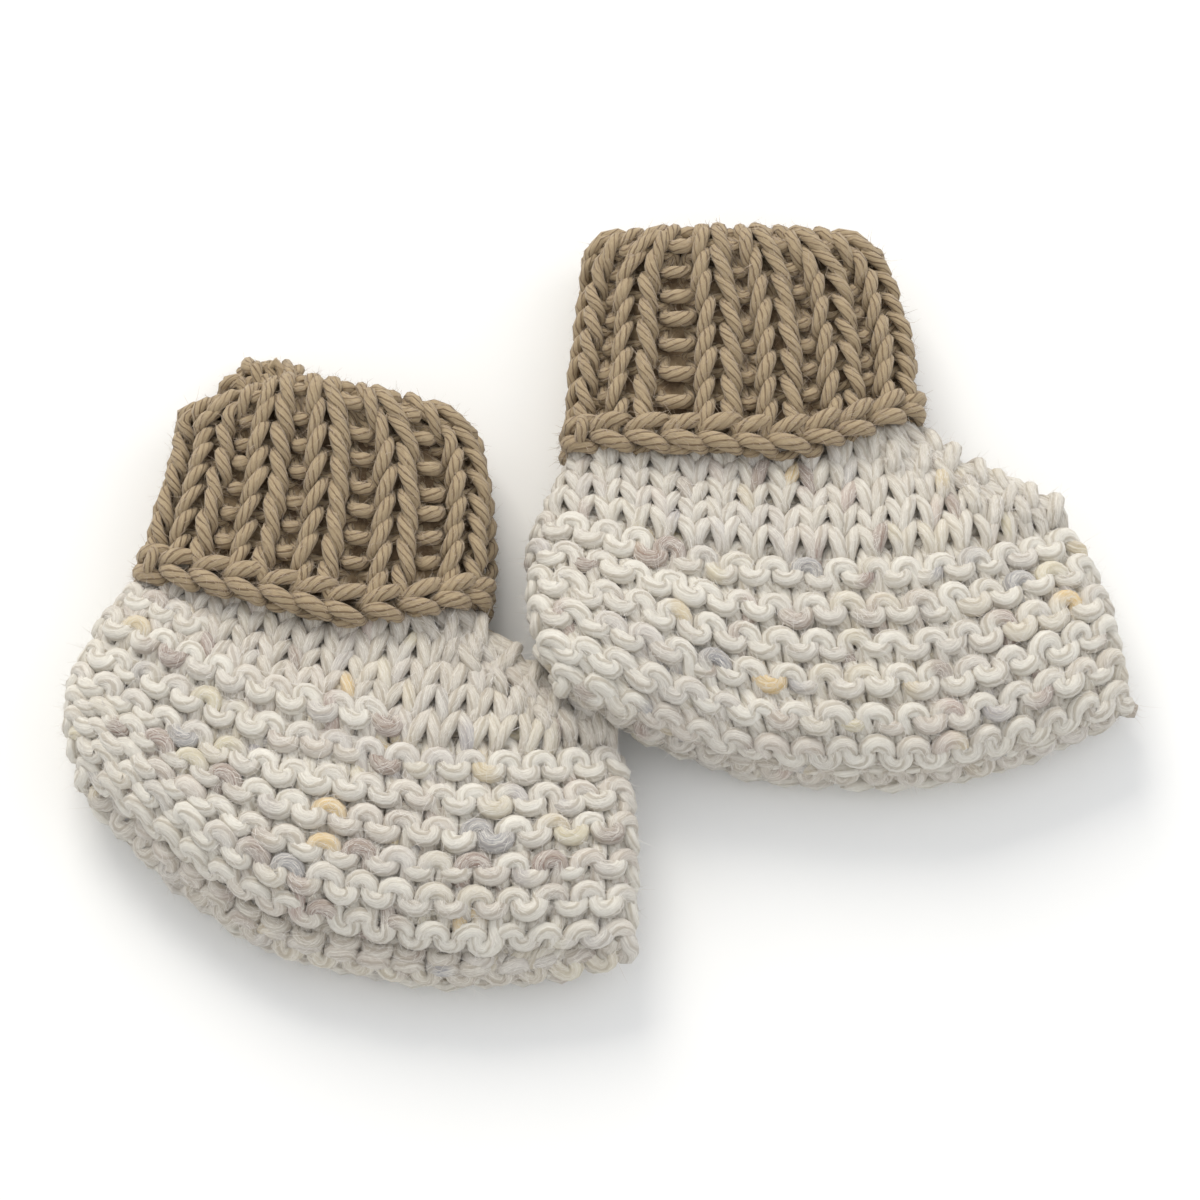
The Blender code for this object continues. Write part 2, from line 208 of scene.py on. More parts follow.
def half_rings(rings, drape, courses, insets, bootie, near):
    """The upper or the lower halves of the rings, each drawn in by its inset."""
    heel_x, heel_y, middle_y, toe_x, toe_y, near_rise, far_rise = ring_values(rings, courses)
    inset = np.broadcast_to(insets, len(courses))[:, None]
    angle = np.linspace(0.0, np.pi, HALF_POINTS)[None, :]
    place, crown = (1.0 - np.cos(angle)) / 2.0, np.sin(angle) ** CROWN_ROUNDNESS
    heel, toe = bends(place)
    step_x, step_y, share = drape(bootie, np.asarray(courses, float)[:, None], place, crown, near)
    x = heel_x + inset + (toe_x - heel_x - 2.0 * inset) * place + step_x
    y = middle_y + (heel_y - middle_y) * heel + (toe_y - middle_y) * toe + step_y
    if near:
        z = MIDDLE_HEIGHT + (near_rise * share - inset) * crown
    else:
        z = np.maximum(MIDDLE_HEIGHT - (far_rise * share - inset) * crown, np.maximum(inset, 0.0))
    from_tip = np.hypot(x - HEEL_TIP[0], y - HEEL_TIP[1])
    lifted = bootie.lift * (1.0 - smoothstep(0.0, LIFT_REACH, from_tip))
    return np.stack([x, y, z + lifted], axis=-1)


def evenly(lines, steps):
    """The lines, each cut into equal steps along its own length."""
    even = []
    for line in lines:
        run = np.concatenate([[0.0], np.cumsum(np.linalg.norm(np.diff(line, axis=0), axis=1))])
        stations = np.linspace(0.0, run[-1], steps + 1)
        even.append(np.stack([np.interp(stations, run, line[:, axis]) for axis in range(3)], axis=-1))
    return np.array(even)


def closed_rings(rings, drape, courses, insets, bootie, steps):
    """Whole rings, turned and set down where the bootie lies; steps is for each half."""
    near = evenly(half_rings(rings, drape, courses, insets, bootie, True), steps)
    far = evenly(half_rings(rings, drape, courses, insets, bootie, False), steps)
    both = np.concatenate([near[:, :-1], far[:, :0:-1]], axis=1)
    turn = np.radians(bootie.turn)
    x = both[..., 0] * np.cos(turn) - both[..., 1] * np.sin(turn) + bootie.at_x
    y = both[..., 0] * np.sin(turn) + both[..., 1] * np.cos(turn) + bootie.at_y
    return np.stack([x, y, both[..., 2]], axis=-1)


sole = closed_rings(BODY_RINGS, body_drape, [1.0], 0.0, RIGHT, 100)[0]
print("round the right sole, mm:", round(float(np.linalg.norm(np.diff(sole, axis=0), axis=1).sum()), 1))

# %% [markdown]
# ## The ground that the yarn is laid on
#
# A ground is a fine grid of points with the direction that points out of the cloth at each. Any
# point of the yarn is then three plain numbers: how far up the cloth, how far round the ring, and
# how far out. This is what lets one drawing of a loop serve on every part of the bootie.

# %% Grounds
Ground = namedtuple("Ground", "points outward low step")
GROUND_STEPS = 220  # along each half of a ring
FOOT_YARN_DEPTH = 1.2  # millimetres from the solid's face in to the middle of the cream rows


def outward_of(points):
    along = np.roll(points, -1, axis=1) - np.roll(points, 1, axis=1)
    normal = np.cross(along, np.gradient(points, axis=0))
    return normal / np.maximum(np.linalg.norm(normal, axis=-1, keepdims=True), 1e-9)


def body_ground(bootie, step=0.05):
    courses = np.arange(0.0, BODY_RINGS[-1].course + step / 2, step)
    points = closed_rings(BODY_RINGS, body_drape, courses, FOOT_YARN_DEPTH, bootie, GROUND_STEPS)
    return Ground(points, outward_of(points), 0.0, step)


def stand(ground, up, round_ring, out):
    """Points that stand out from the ground, with the outward direction at each."""
    rows, columns = ground.points.shape[:2]
    row = np.clip((up - ground.low) / ground.step, 0.0, rows - 1.001)
    column = (round_ring % 1.0) * columns
    r, c = row.astype(int), column.astype(int)
    fr, fc = (row - r)[:, None], (column - c)[:, None]
    after = (c + 1) % columns
    c = c % columns

    def blended(grid):
        lower = grid[r, c] * (1 - fc) + grid[r, after] * fc
        upper = grid[r + 1, c] * (1 - fc) + grid[r + 1, after] * fc
        return lower * (1 - fr) + upper * fr

    outward = blended(ground.outward)
    outward /= np.maximum(np.linalg.norm(outward, axis=1, keepdims=True), 1e-9)
    return blended(ground.points) + outward * np.reshape(out, (-1, 1)), outward


print("rings and points round each in a foot's ground:", body_ground(LEFT).points.shape[:2])

# %% [markdown]
# ## One row of loops
#
# The yarn of a row swings up into a loop and down again at each stitch. A loop is drawn once, as a
# short table of its rising half: how far along the stitch, how many millimetres up the cloth, how
# many out of it, and how thick the yarn is there, because a yarn that is squeezed under another
# gets thinner. The falling half is its mirror image. What makes a stitch knit or purl is only
# which parts come to the front. Hands are uneven, so each stitch gets a small push of its own: the
# pushes are shares of a stitch sideways, millimetres up and out, and a share of the thickness.

# %% Rows of loops
NEAR_SAMPLES = 20  # along one stitch where it shows
FAR_SAMPLES = 8  # on the side that lies on the table
FOLD_STITCHES = 1.5  # how many stitches past a fold still show in the outline
Pushes = namedtuple("Pushes", "side rise out thick")


def phases_of(count, shown):
    """Phases along a row whose first stitches show, with the last few that turn back to them."""
    turned = max(shown, count - FOLD_STITCHES)
    stretches = ((0.0, shown, NEAR_SAMPLES), (shown, turned, FAR_SAMPLES), (turned, count, NEAR_SAMPLES))
    parts = []
    for begin, end, samples in stretches:
        parts.append(np.linspace(begin, end, int(round((end - begin) * samples)), endpoint=False))
    return np.concatenate(parts)


def uneven(phase, count, amount, dice):
    """A small push that differs from stitch to stitch and changes smoothly between them."""
    pushes = dice.normal(0.0, amount, int(count))
    before = np.floor(phase).astype(int)
    share = smoothstep(0.0, 1.0, phase - before)
    return pushes[before % len(pushes)] * (1 - share) + pushes[(before + 1) % len(pushes)] * share


def unit(vectors):
    return vectors / np.maximum(np.linalg.norm(vectors, axis=-1, keepdims=True), 1e-9)


def smooth_at(points, at):
    """A smooth closed line through the points, read at whole and part numbers of points."""
    before = np.floor(at).astype(int)
    p0, p1, p2, p3 = (points[(before + step) % len(points)] for step in (-1, 0, 1, 2))
    t = (at - before)[:, None]
    return 0.5 * (
        2 * p1 + (p2 - p0) * t + (2 * p0 - 5 * p1 + 4 * p2 - p3) * t**2 + (3 * p1 - p0 - 3 * p2 + p3) * t**3
    )


def mirrored(half):
    """A whole loop from its rising half."""
    half = np.array(half)
    back = half[-2:0:-1] * np.array([-1.0, 1.0, 1.0, 1.0]) + np.array([1.0, 0.0, 0.0, 0.0])
    return np.concatenate([half, back])


def row_of(loops, count, shown):
    """The yarn of a row that works these loops in turn, and the phase of each of its points."""
    stitches = [loops[number % len(loops)] + np.array([number, 0.0, 0.0, 0.0]) for number in range(count)]
    points = np.concatenate(stitches)
    points_each = len(points) // count
    points[:, 0] -= np.arange(len(points)) / points_each
    phase = phases_of(count, shown)
    yarn = smooth_at(points, phase * points_each)
    yarn[:, 0] += phase
    return yarn, phase


print("points along a stitch:", NEAR_SAMPLES, "where it shows,", FAR_SAMPLES, "below")

# %% [markdown]
# ## Colours
#
# Colours are written as the hex values that a paint chart gives. One function turns them into the
# linear light that Blender mixes, so that a colour written in hex comes out as written.

# %% Colours
def linear(hex_colour):
    values = np.array([int(hex_colour[i : i + 2], 16) for i in (1, 3, 5)]) / 255.0
    low, high = values / 12.92, ((values + 0.055) / 1.055) ** 2.4
    return tuple(np.where(values <= 0.04045, low, high)) + (1.0,)


print("a mid grey, #808080, in linear light:", round(float(linear("#808080")[0]), 3))

# %% [markdown]
# The cream yarn was dyed in short dabs before it was spun, so flecks of mustard, mauve-brown and
# blue-grey turn up along it, each about one loop long and soft at its ends. Longer stretches are
# faintly greyer or pinker. The dye is kept on the points of the yarn. The strongest flecks are set
# down one by one, as colour and length at a place on the table, and the rest fall at random.

# %% Flecks
FLECK_COLOURS = ("#D3BC86", "#8F746C", "#8E8F99", "#B49C93", "#7E665E", "#A9A5AC", "#9C847C", "#CFC4A0")
FLECK_EVERY = 38.0  # millimetres of yarn from one fleck to the next, on average
FLECK_LENGTHS, FLECK_STRENGTHS = (3.0, 11.0), (0.3, 1.0)
TINT_COLOURS = ("#CFC9CC", "#D3C1B6", "#DCCFAE", "#C2BEC2", "#CDBDB4")
TINT_EVERY = 60.0
TINT_LENGTHS, TINT_STRENGTHS = (20, 60), (0.15, 0.6)
FLECK_STRAYS, TINT_STRAYS = 14, 20  # millimetres off the even spacing
PAINTED_SHADE_GREIGE = "#A39584"  # greige that the instep and the lip are darkened towards: painted shade
INSTEP_PAINTED_SHADE = {"left": 0.55, "right": 0.32}  # how far each instep is darkened to greige: painted shade under the cuff
LIP_PAINTED_SHADE = 0.6  # and on the lower half's first ridge: painted shade under the sole's edge
MUSTARD, MAUVE, GREY, STRAW = "#DDB86A", "#84675F", "#85868F", "#D6CBA8"
PLACED_STRENGTH = 0.9
PLACED_FLECKS = {
    "left": (
        (-42.1, -39.5, MUSTARD, 9.0),
        (-20.8, -58.3, MUSTARD, 8.0),
        (-41.7, -18.3, MUSTARD, 6.0),
        (-43.5, -45.4, MUSTARD, 6.0),
        (-68.0, -32.3, STRAW, 9.0),
        (-63.9, -21.9, STRAW, 9.0),
        (-2.9, -45.0, STRAW, 9.0),
        (-33.0, -27.0, MAUVE, 8.0),
        (-72.0, -13.6, MAUVE, 10.0),
        (-65.0, -10.2, MAUVE, 9.0),
        (-71.6, -25.6, MAUVE, 10.0),
        (-58.4, -33.6, MAUVE, 8.0),
        (-36.8, -33.2, MAUVE, 8.0),
        (-38.1, -46.3, MAUVE, 9.0),
        (-22.5, -49.8, MAUVE, 12.0),
        (-9.1, -48.2, MAUVE, 10.0),
        (-45.9, -57.7, MAUVE, 10.0),
        (-68.6, -28.0, GREY, 9.0),
        (-19.1, -41.7, GREY, 11.0),
        (-17.2, -44.6, GREY, 10.0),
        (-47.3, -50.5, GREY, 12.0),
    ),
    "right": (
        (27.5, -20.6, MUSTARD, 9.0),
        (33.0, 21.0, MUSTARD, 7.0),
        (80.6, -2.1, MUSTARD, 7.0),
        (69.1, 9.9, STRAW, 8.0),
        (75.9, 3.5, STRAW, 9.0),
        (35.9, 17.7, MAUVE, 12.0),
        (28.4, 20.4, MAUVE, 9.0),
        (60.1, 14.8, MAUVE, 12.0),
        (47.0, 8.3, MAUVE, 8.0),
        (12.0, 7.4, MAUVE, 10.0),
        (10.0, 2.5, MAUVE, 9.0),
        (21.0, -13.5, GREY, 8.0),
        (34.0, 1.6, GREY, 9.0),
        (70.4, 0.9, GREY, 13.0),
    ),
}


def dab(dye, run, middle, length, colour, strength):
    """Mix a colour into the dye round one point of the yarn, softly at both ends."""
    share = strength * np.exp(-(((run - middle) / (length / 2.0)) ** 4))[:, None]
    dye[:, :3] = dye[:, :3] * (1 - share) + np.array(linear(colour)[:3]) * share
    dye[:, 3:] = np.maximum(dye[:, 3:], share)


def dyed(line, dice, painted_shade=0.0):
    """The dye along a line of yarn; the third argument is how far the whole line is darkened to greige, as
    painted shade.
    """
    run = np.concatenate([[0.0], np.cumsum(np.linalg.norm(np.diff(line, axis=0), axis=1))])
    dye = np.zeros((len(line), 4))
    dye[:, :3] = linear(PAINTED_SHADE_GREIGE)[:3]
    dye[:, 3] = painted_shade
    for middle in np.arange(dice.uniform(0, TINT_EVERY), run[-1], TINT_EVERY):
        colour = TINT_COLOURS[dice.integers(len(TINT_COLOURS))]
        middle = middle + dice.normal(0, TINT_STRAYS)
        dab(dye, run, middle, dice.uniform(*TINT_LENGTHS), colour, dice.uniform(*TINT_STRENGTHS))
    for middle in np.arange(dice.uniform(0, FLECK_EVERY), run[-1], FLECK_EVERY):
        colour = FLECK_COLOURS[dice.integers(len(FLECK_COLOURS))]
        strength = dice.uniform(*FLECK_STRENGTHS)
        middle = middle + dice.normal(0, FLECK_STRAYS)
        dab(dye, run, middle, dice.uniform(*FLECK_LENGTHS), colour, strength)
    return dye


def place_flecks(strands, places):
    """Dye the uppermost yarn at each place: a millimetre aside counts as three down."""
    for x, y, colour, length in places:
        scores = []
        for strand in strands:
            aside = np.hypot(strand.line[:, 0] - x, strand.line[:, 1] - y)
            scores.append(3.0 * np.maximum(aside, 2.0) - strand.line[:, 2])
        chosen = int(np.argmin([score.min() for score in scores]))
        strand, nearest = strands[chosen], int(np.argmin(scores[chosen]))
        run = strand.run[: len(strand.line)]
        dab(strand.dye, run, run[nearest], length, colour, PLACED_STRENGTH)


print("flecks placed by hand:", sum(len(places) for places in PLACED_FLECKS.values()))

# %% [markdown]
# ## From a line to a yarn
#
# A yarn is a tube round its line. Its cross-section is kept level with the cloth, so that pressed
# yarn can be a little flatter than it is wide. The tube carries a map in real units: millimetres
# along the yarn and turns round it. The twist and the fibres are drawn on that map, so they follow
# the yarn round every loop. A second map packs the same faces into a square without overlap.

# %% Yarn tubes
Strand = namedtuple("Strand", "line outward radius closed run dye")
TUBE_SIDES = 8
TUBE_FLATNESS = 0.94  # how tall the yarn's section is for its radius


def strand_of(line, outward, radius, closed, dye=None):
    """A line of yarn with its radius, its dye and the millimetres run at each point."""
    steps = np.linalg.norm(np.diff(line, axis=0), axis=1)
    if closed:
        steps = np.append(steps, np.linalg.norm(line[0] - line[-1]))
    run = np.concatenate([[0.0], np.cumsum(steps)])
    radii = np.broadcast_to(np.asarray(radius, float), len(line))
    return Strand(line, outward, radii, closed, run, dye)


def tube_of(strand):
    """Rings of corner points round the strand."""
    if strand.closed:
        tangent = np.roll(strand.line, -1, axis=0) - np.roll(strand.line, 1, axis=0)
    else:
        tangent = np.gradient(strand.line, axis=0)
    tangent /= np.maximum(np.linalg.norm(tangent, axis=1, keepdims=True), 1e-9)
    up = strand.outward - tangent * (strand.outward * tangent).sum(1, keepdims=True)
    up /= np.maximum(np.linalg.norm(up, axis=1, keepdims=True), 1e-9)
    across = np.cross(tangent, up)
    angle = np.arange(TUBE_SIDES) * 2.0 * np.pi / TUBE_SIDES
    tall, wide = TUBE_FLATNESS * np.cos(angle), np.sin(angle) / TUBE_FLATNESS
    spoke = up[:, None, :] * tall[None, :, None] + across[:, None, :] * wide[None, :, None]
    return strand.line[:, None, :] + spoke * strand.radius[:, None, None]


def strand_faces(strand):
    """Corner indices of the strand's quads, and the map place of each corner."""
    length = len(strand.line)
    count = length if strand.closed else length - 1
    ring, side = np.meshgrid(np.arange(count), np.arange(TUBE_SIDES), indexing="ij")
    ring, side = ring.ravel(), side.ravel()
    first, second = ring * TUBE_SIDES, (ring + 1) % length * TUBE_SIDES
    beside = (side + 1) % TUBE_SIDES
    corners = np.stack([first + side, second + side, second + beside, first + beside], 1)
    begin, end = strand.run[ring], strand.run[ring + 1]
    along = np.stack([begin, end, end, begin], 1)
    around = np.stack([side, side, side + 1, side + 1], 1) / TUBE_SIDES
    return corners, np.stack([along, around], axis=-1)


print("corners round a yarn:", TUBE_SIDES)

# %% [markdown]
# All strands of a piece go into one mesh, straight from the arrays, because adding tens of
# thousands of faces one by one would take minutes. The tubes are left open at the ends, which lie
# tucked in among other loops.

# %% A piece of yarn
def add_piece(name, mesh, material):
    """Put a mesh in the scene as a piece that rides on the one body that the part has."""
    mesh.materials.append(material)
    piece = bpy.data.objects.new(name, mesh)
    bpy.context.scene.collection.objects.link(piece)
    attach(piece, "root")
    return piece


STRAND_GAP = 2.0  # millimetres of the map between one strand and the next
MAP_ROOM, MAP_MARGIN = 1.03, 0.005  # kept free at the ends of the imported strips
STRIP_MARGIN, STRIP_FILL = 0.06, 0.88


def packed_map(along, around, thickness):
    """The same faces as strips laid side by side in a square, none over another."""
    start = along.min(axis=1)
    girth = 2.0 * np.pi * thickness
    side_length = np.sqrt(max(along.max(), 1.0) * girth)
    strip = np.floor(start / side_length)
    strips = strip.max() + 1
    x = (along - (strip * side_length)[:, None]) / (side_length * MAP_ROOM) + MAP_MARGIN
    y = (strip[:, None] + STRIP_MARGIN + STRIP_FILL * around) / strips
    return np.stack([x, y], axis=-1)


def yarn_piece(name, strands, material):
    corners, faces, maps, dyes, shift, run = [], [], [], [], 0, 0.0
    for strand in strands:
        tube = tube_of(strand).reshape(-1, 3)
        quads, places = strand_faces(strand)
        places[..., 0] += run
        corners.append(tube)
        faces.append(quads + shift)
        maps.append(places)
        dye = strand.dye if strand.dye is not None else np.zeros((len(strand.line), 4))
        dyes.append(np.repeat(dye, TUBE_SIDES, axis=0))
        shift += len(tube)
        run += strand.run[-1] + STRAND_GAP
    corners, faces, maps = np.concatenate(corners) * MM, np.concatenate(faces), np.concatenate(maps)
    mesh = bpy.data.meshes.new(name)
    mesh.vertices.add(len(corners))
    mesh.vertices.foreach_set("co", corners.astype(np.float32).ravel())
    mesh.loops.add(faces.size)
    mesh.loops.foreach_set("vertex_index", faces.astype(np.int32).ravel())
    mesh.polygons.add(len(faces))
    mesh.polygons.foreach_set("loop_start", np.arange(0, faces.size, 4, dtype=np.int32))
    mesh.polygons.foreach_set("use_smooth", np.ones(len(faces), bool))
    packed = packed_map(maps[..., 0], maps[..., 1], float(strands[0].radius.mean()))
    for map_name, places in (("OFBake", packed), ("Yarn", maps)):
        layer = mesh.uv_layers.new(name=map_name)
        layer.uv.foreach_set("vector", places.astype(np.float32).ravel())
    # the dye attribute also carries the painted shade of the instep and the lip
    dye_layer = mesh.attributes.new("dye", "FLOAT_COLOR", "POINT")
    dye_layer.data.foreach_set("color", np.concatenate(dyes).astype(np.float32).ravel())
    mesh.update()
    mesh.validate()
    print(f"{name}: {len(faces) * 2} triangles, {run / 1000:.1f} m of yarn")
    return add_piece(name, mesh, material)


print("millimetres between strands on the map:", STRAND_GAP)

# %% [markdown]
# ## Nodes
#
# One function adds a node with its settings and its links, so that a material reads as a list.

# %% Helpers for materials
def add_node(tree, kind, links=None, sockets=None, **settings):
    """A node with its settings; links go from another node's output to this one's inputs."""
    node = tree.nodes.new(kind)
    for setting, value in settings.items():
        setattr(node, setting, value)
    for socket, value in (sockets or {}).items():
        node.inputs[socket].default_value = value
    for socket, source in (links or {}).items():
        tree.links.new(source, node.inputs[socket])
    return node


def new_material(name):
    material = bpy.data.materials.new(name)
    material.use_nodes = True
    material.node_tree.nodes.clear()
    return material


print("materials before the first yarn:", len(bpy.data.materials))

# %% [markdown]
# ## Plied yarn
#
# The tan yarn is cotton: strands laid together with a firm twist, one turn in 12.5 mm, so slanting
# grooves run over it and it has a dry, dull surface. The cream yarn is a wool blend, softer and
# rounder, with a loose twist, so its grooves are shallow and its fibres show as faint streaks.
# Both are drawn by the same nodes: a wave round the yarn for the plies, slanted by the twist, and
# two noises stretched along the plies, one for bundles of fibres and one for single hairs. The
# grooves and the darker streaks are coloured towards each yarn's shade colour: in the grooves this
# is painted shade, in the streaks partly the fibres' own tone and partly painted shade. Slow
# patches let the grooves fade here and there, as they do where a yarn was handled. Wool and cotton
# barely shine, so they are rough, and a little sheen stands for the fibre ends that catch light at
# the edges. Single hairs are 0.02 mm thick; they are drawn about 0.15 mm thick, to show.

# %% Yarn material
Yarn = namedtuple("Yarn", "name light shade plies lay groove fibre sheen")
PATCH_SCALE = 0.22  # patches about 4.5 mm long
PLY_WANDER = 0.25
BUNDLES = (0.09, 14.0, {"Scale": 2.2, "Detail": 4.0, "Roughness": 0.65})  # some 5 mm long
HAIRS = (0.7, 22.0, {"Scale": 2.2, "Detail": 3.0, "Roughness": 0.7})  # some 0.6 mm long
HAIR_SHARE = 0.4
BUMP_TALL = 0.22 * MM
CREAM = Yarn("plied_wool_blend_cream", "#EBE7DC", "#C3BBAC", 4.0, 30.0, 0.4, 1.9, 0.3)
TAN = Yarn("plied_cotton_tan", "#B4A182", "#7D6950", 6.0, 12.5, 0.7, 1.1, 0.2)


def streaks(tree, along, turned, per_mm, per_turn, settings):
    """Noise drawn out along the plies: coarse along the yarn, fine round it."""
    drawn = add_node(tree, "ShaderNodeMath", {0: along}, {1: per_mm}, operation="MULTIPLY")
    crowded = add_node(tree, "ShaderNodeMath", {0: turned}, {1: per_turn}, operation="MULTIPLY")
    at = add_node(tree, "ShaderNodeCombineXYZ", {"X": drawn.outputs[0], "Y": crowded.outputs[0]})
    noise = add_node(tree, "ShaderNodeTexNoise", {"Vector": at.outputs[0]}, settings)
    return noise.outputs["Fac"]


def ply_grooves(tree, along, around, yarn, patches):
    """Round the yarn with the twist, and how far each place is out of the nearest groove."""
    twist = add_node(tree, "ShaderNodeMath", {0: along}, {1: 1.0 / yarn.lay}, operation="MULTIPLY")
    wander = add_node(
        tree, "ShaderNodeMath", {0: patches, 2: around}, {1: PLY_WANDER}, operation="MULTIPLY_ADD"
    )
    turned = add_node(tree, "ShaderNodeMath", {0: wander.outputs[0], 1: twist.outputs[0]}, operation="ADD")
    wave = add_node(
        tree, "ShaderNodeMath", {0: turned.outputs[0]}, {1: np.pi * yarn.plies}, operation="MULTIPLY"
    )
    sine = add_node(tree, "ShaderNodeMath", {0: wave.outputs[0]}, operation="SINE")
    ply = add_node(tree, "ShaderNodeMath", {0: sine.outputs[0]}, operation="ABSOLUTE")
    fading = add_node(
        tree, "ShaderNodeMapRange", {"Value": patches}, {1: 0.35, 2: 0.62, 3: 0.75, 4: 0.0}
    )
    groove = add_node(
        tree,
        "ShaderNodeMapRange",
        {"Value": ply.outputs[0], 3: fading.outputs[0]},
        {1: 0.0, 2: 0.65, 4: 1.0},
        interpolation_type="SMOOTHSTEP",
    )
    return turned.outputs[0], groove.outputs[0]


def yarn_material(yarn):
    material = new_material(yarn.name)
    tree = material.node_tree
    place = add_node(tree, "ShaderNodeUVMap", uv_map="Yarn")
    parts = add_node(tree, "ShaderNodeSeparateXYZ", {"Vector": place.outputs["UV"]})
    along, around = parts.outputs["X"], parts.outputs["Y"]
    patches = add_node(
        tree, "ShaderNodeTexNoise", {"Vector": place.outputs["UV"]}, {"Scale": PATCH_SCALE, "Detail": 2.0}
    )
    turned, groove = ply_grooves(tree, along, around, yarn, patches.outputs["Fac"])
    bundles = streaks(tree, along, turned, *BUNDLES)
    hairs = streaks(tree, along, turned, *HAIRS)
    coarse = add_node(tree, "ShaderNodeMath", {0: bundles}, {1: 1.0 - HAIR_SHARE}, operation="MULTIPLY")
    both = add_node(
        tree, "ShaderNodeMath", {0: hairs, 2: coarse.outputs[0]}, {1: HAIR_SHARE}, operation="MULTIPLY_ADD"
    )
    fibres = both.outputs[0]
    # painted shade: the ply grooves, and partly the fibre streaks, are coloured towards the shade colour
    tone = add_node(tree, "ShaderNodeMath", {0: groove, 1: fibres}, operation="MULTIPLY")
    darkness = add_node(
        tree, "ShaderNodeMapRange", {"Value": tone.outputs[0]}, {1: 0.22, 2: 0.6, 3: 1.0, 4: 0.0}
    )
    base = add_node(
        tree,
        "ShaderNodeMix",
        {0: darkness.outputs[0]},
        {6: linear(yarn.light), 7: linear(yarn.shade)},
        data_type="RGBA",
    )
    # the dye also holds painted shade: the instep and the lip are darkened to greige
    dye = add_node(tree, "ShaderNodeAttribute", attribute_name="dye")
    dye_share = add_node(
        tree, "ShaderNodeMapRange", {"Value": fibres}, {1: 0.38, 2: 0.6, 3: 1.0, 4: 0.3}
    )
    dye_amount = add_node(
        tree, "ShaderNodeMath", {0: dye.outputs["Alpha"], 1: dye_share.outputs[0]}, operation="MULTIPLY"
    )
    coloured = add_node(
        tree,
        "ShaderNodeMix",
        {0: dye_amount.outputs[0], 6: base.outputs[2], 7: dye.outputs["Color"]},
        data_type="RGBA",
    )
    plies_height = add_node(tree, "ShaderNodeMath", {0: groove}, {1: yarn.groove}, operation="MULTIPLY")
    height = add_node(
        tree,
        "ShaderNodeMath",
        {0: fibres, 2: plies_height.outputs[0]},
        {1: yarn.fibre},
        operation="MULTIPLY_ADD",
    )
    bump = add_node(
        tree, "ShaderNodeBump", {"Height": height.outputs[0]}, {"Strength": 0.9, "Distance": BUMP_TALL}
    )
    shader = add_node(
        tree,
        "ShaderNodeBsdfPrincipled",
        {"Base Color": coloured.outputs[2], "Normal": bump.outputs["Normal"]},
        {"Roughness": 0.92, "Specular IOR Level": 0.25, "Sheen Weight": yarn.sheen, "Sheen Roughness": 0.5},
    )
    add_node(tree, "ShaderNodeOutputMaterial", {"Surface": shader.outputs[0]})
    return material


cream_yarn, tan_yarn = yarn_material(CREAM), yarn_material(TAN)
print("yarns:", cream_yarn.name, tan_yarn.name)

# %% [markdown]
# ## The garter foot
#
# Garter stitch is knitted on both sides in turn, so from outside, knit rows and purl rows take
# turns. Two rows make a ridge: the heads of the lower row's loops arch over the dips of the upper
# row's, and the rest of both rows sinks into the valley.

# %% Garter rows
CREAM_RADIUS = 1.34
GARTER_STITCHES = 34
SHOWN_RIDGES = 7
RIDGE_DROP = 0.62  # courses from a ridge's number down to the dip of its first row
GARTER_TALL = 6.6
GARTER_BULGE = 0.14
GARTER_DEPTH = 1.9
GARTER_SINK = 0.12  # how far the sides of a loop lie behind its head
GARTER_HOLD = 0.6  # below 1, a loop stays in front until it is past its neighbour
GARTER_PUSHES = Pushes(0.05, 0.25, 0.2, 0.07)
SOLE_LINE = 0.04  # the lowest course that the yarn may reach


def garter_loop(front):
    """A loop whose head is in front when front is 1, and whose dip is when it is -1."""
    turn = np.linspace(0.0, np.pi, 9)
    side = turn / (2.0 * np.pi) + GARTER_BULGE * np.sin(2.0 * turn)
    rise = GARTER_TALL / 2.0 * (1.0 - np.cos(turn))
    swing = np.sign(np.cos(turn)) * np.abs(np.cos(turn)) ** GARTER_HOLD
    out = -front * GARTER_DEPTH / 2.0 * swing - GARTER_SINK * np.sin(turn) ** 2
    thick = 1.02 + 0.1 * out / GARTER_DEPTH
    return mirrored(np.stack([side, rise, out, thick], axis=1))


def foot_strands(ground, dice):
    strands = []
    for ridge in range(SHOWN_RIDGES):
        for start, front in ((ridge - RIDGE_DROP, 1.0), (ridge - RIDGE_DROP + 0.5, -1.0)):
            shown = GARTER_STITCHES if ridge == 0 else GARTER_STITCHES / 2 + FOLD_STITCHES
            yarn, phase = row_of([garter_loop(front)], GARTER_STITCHES, shown)
            side, rise, out, thick = yarn.T
            push = GARTER_PUSHES
            side = side + uneven(phase, GARTER_STITCHES, push.side, dice)
            rise = rise + uneven(phase, GARTER_STITCHES, push.rise, dice)
            rise = rise + uneven(phase / 5, 7, push.rise, dice)
            out = out + uneven(phase, GARTER_STITCHES, push.out, dice)
            up = np.maximum(start + rise / ROW_RISE, SOLE_LINE)
            line, outward = stand(ground, up, side / GARTER_STITCHES, out)
            line[:, 2] = np.maximum(line[:, 2], CREAM_RADIUS)
            swell = uneven(phase * 2.0, GARTER_STITCHES * 2, push.thick, dice)
            radius = CREAM_RADIUS * thick * (1.0 + swell)
            # painted shade: the first ridge's far half, which faces down under the sole's edge, is darkened
            # to greige
            below = LIP_PAINTED_SHADE * (phase > GARTER_STITCHES / 2) * (ridge == 0)
            strands.append(strand_of(line, outward, radius, True, dyed(line, dice, below)))
    return strands


print("garter rows on each foot:", 2 * SHOWN_RIDGES, "of", GARTER_STITCHES, "stitches")

# %% [markdown]
# Short rows make the left heel one ridge deeper. They end on the upper side, where the yarn sinks
# between the stitches. The left sole's lower half stands out past the upper one, so its own first
# ridge shows there as a lip. The sole is sewn shut with the same yarn, over and over through both
# edges: slanting stitches show all along the right sole and at the left toe, past the lip. At the
# right toe a cut end of brown yarn is left.

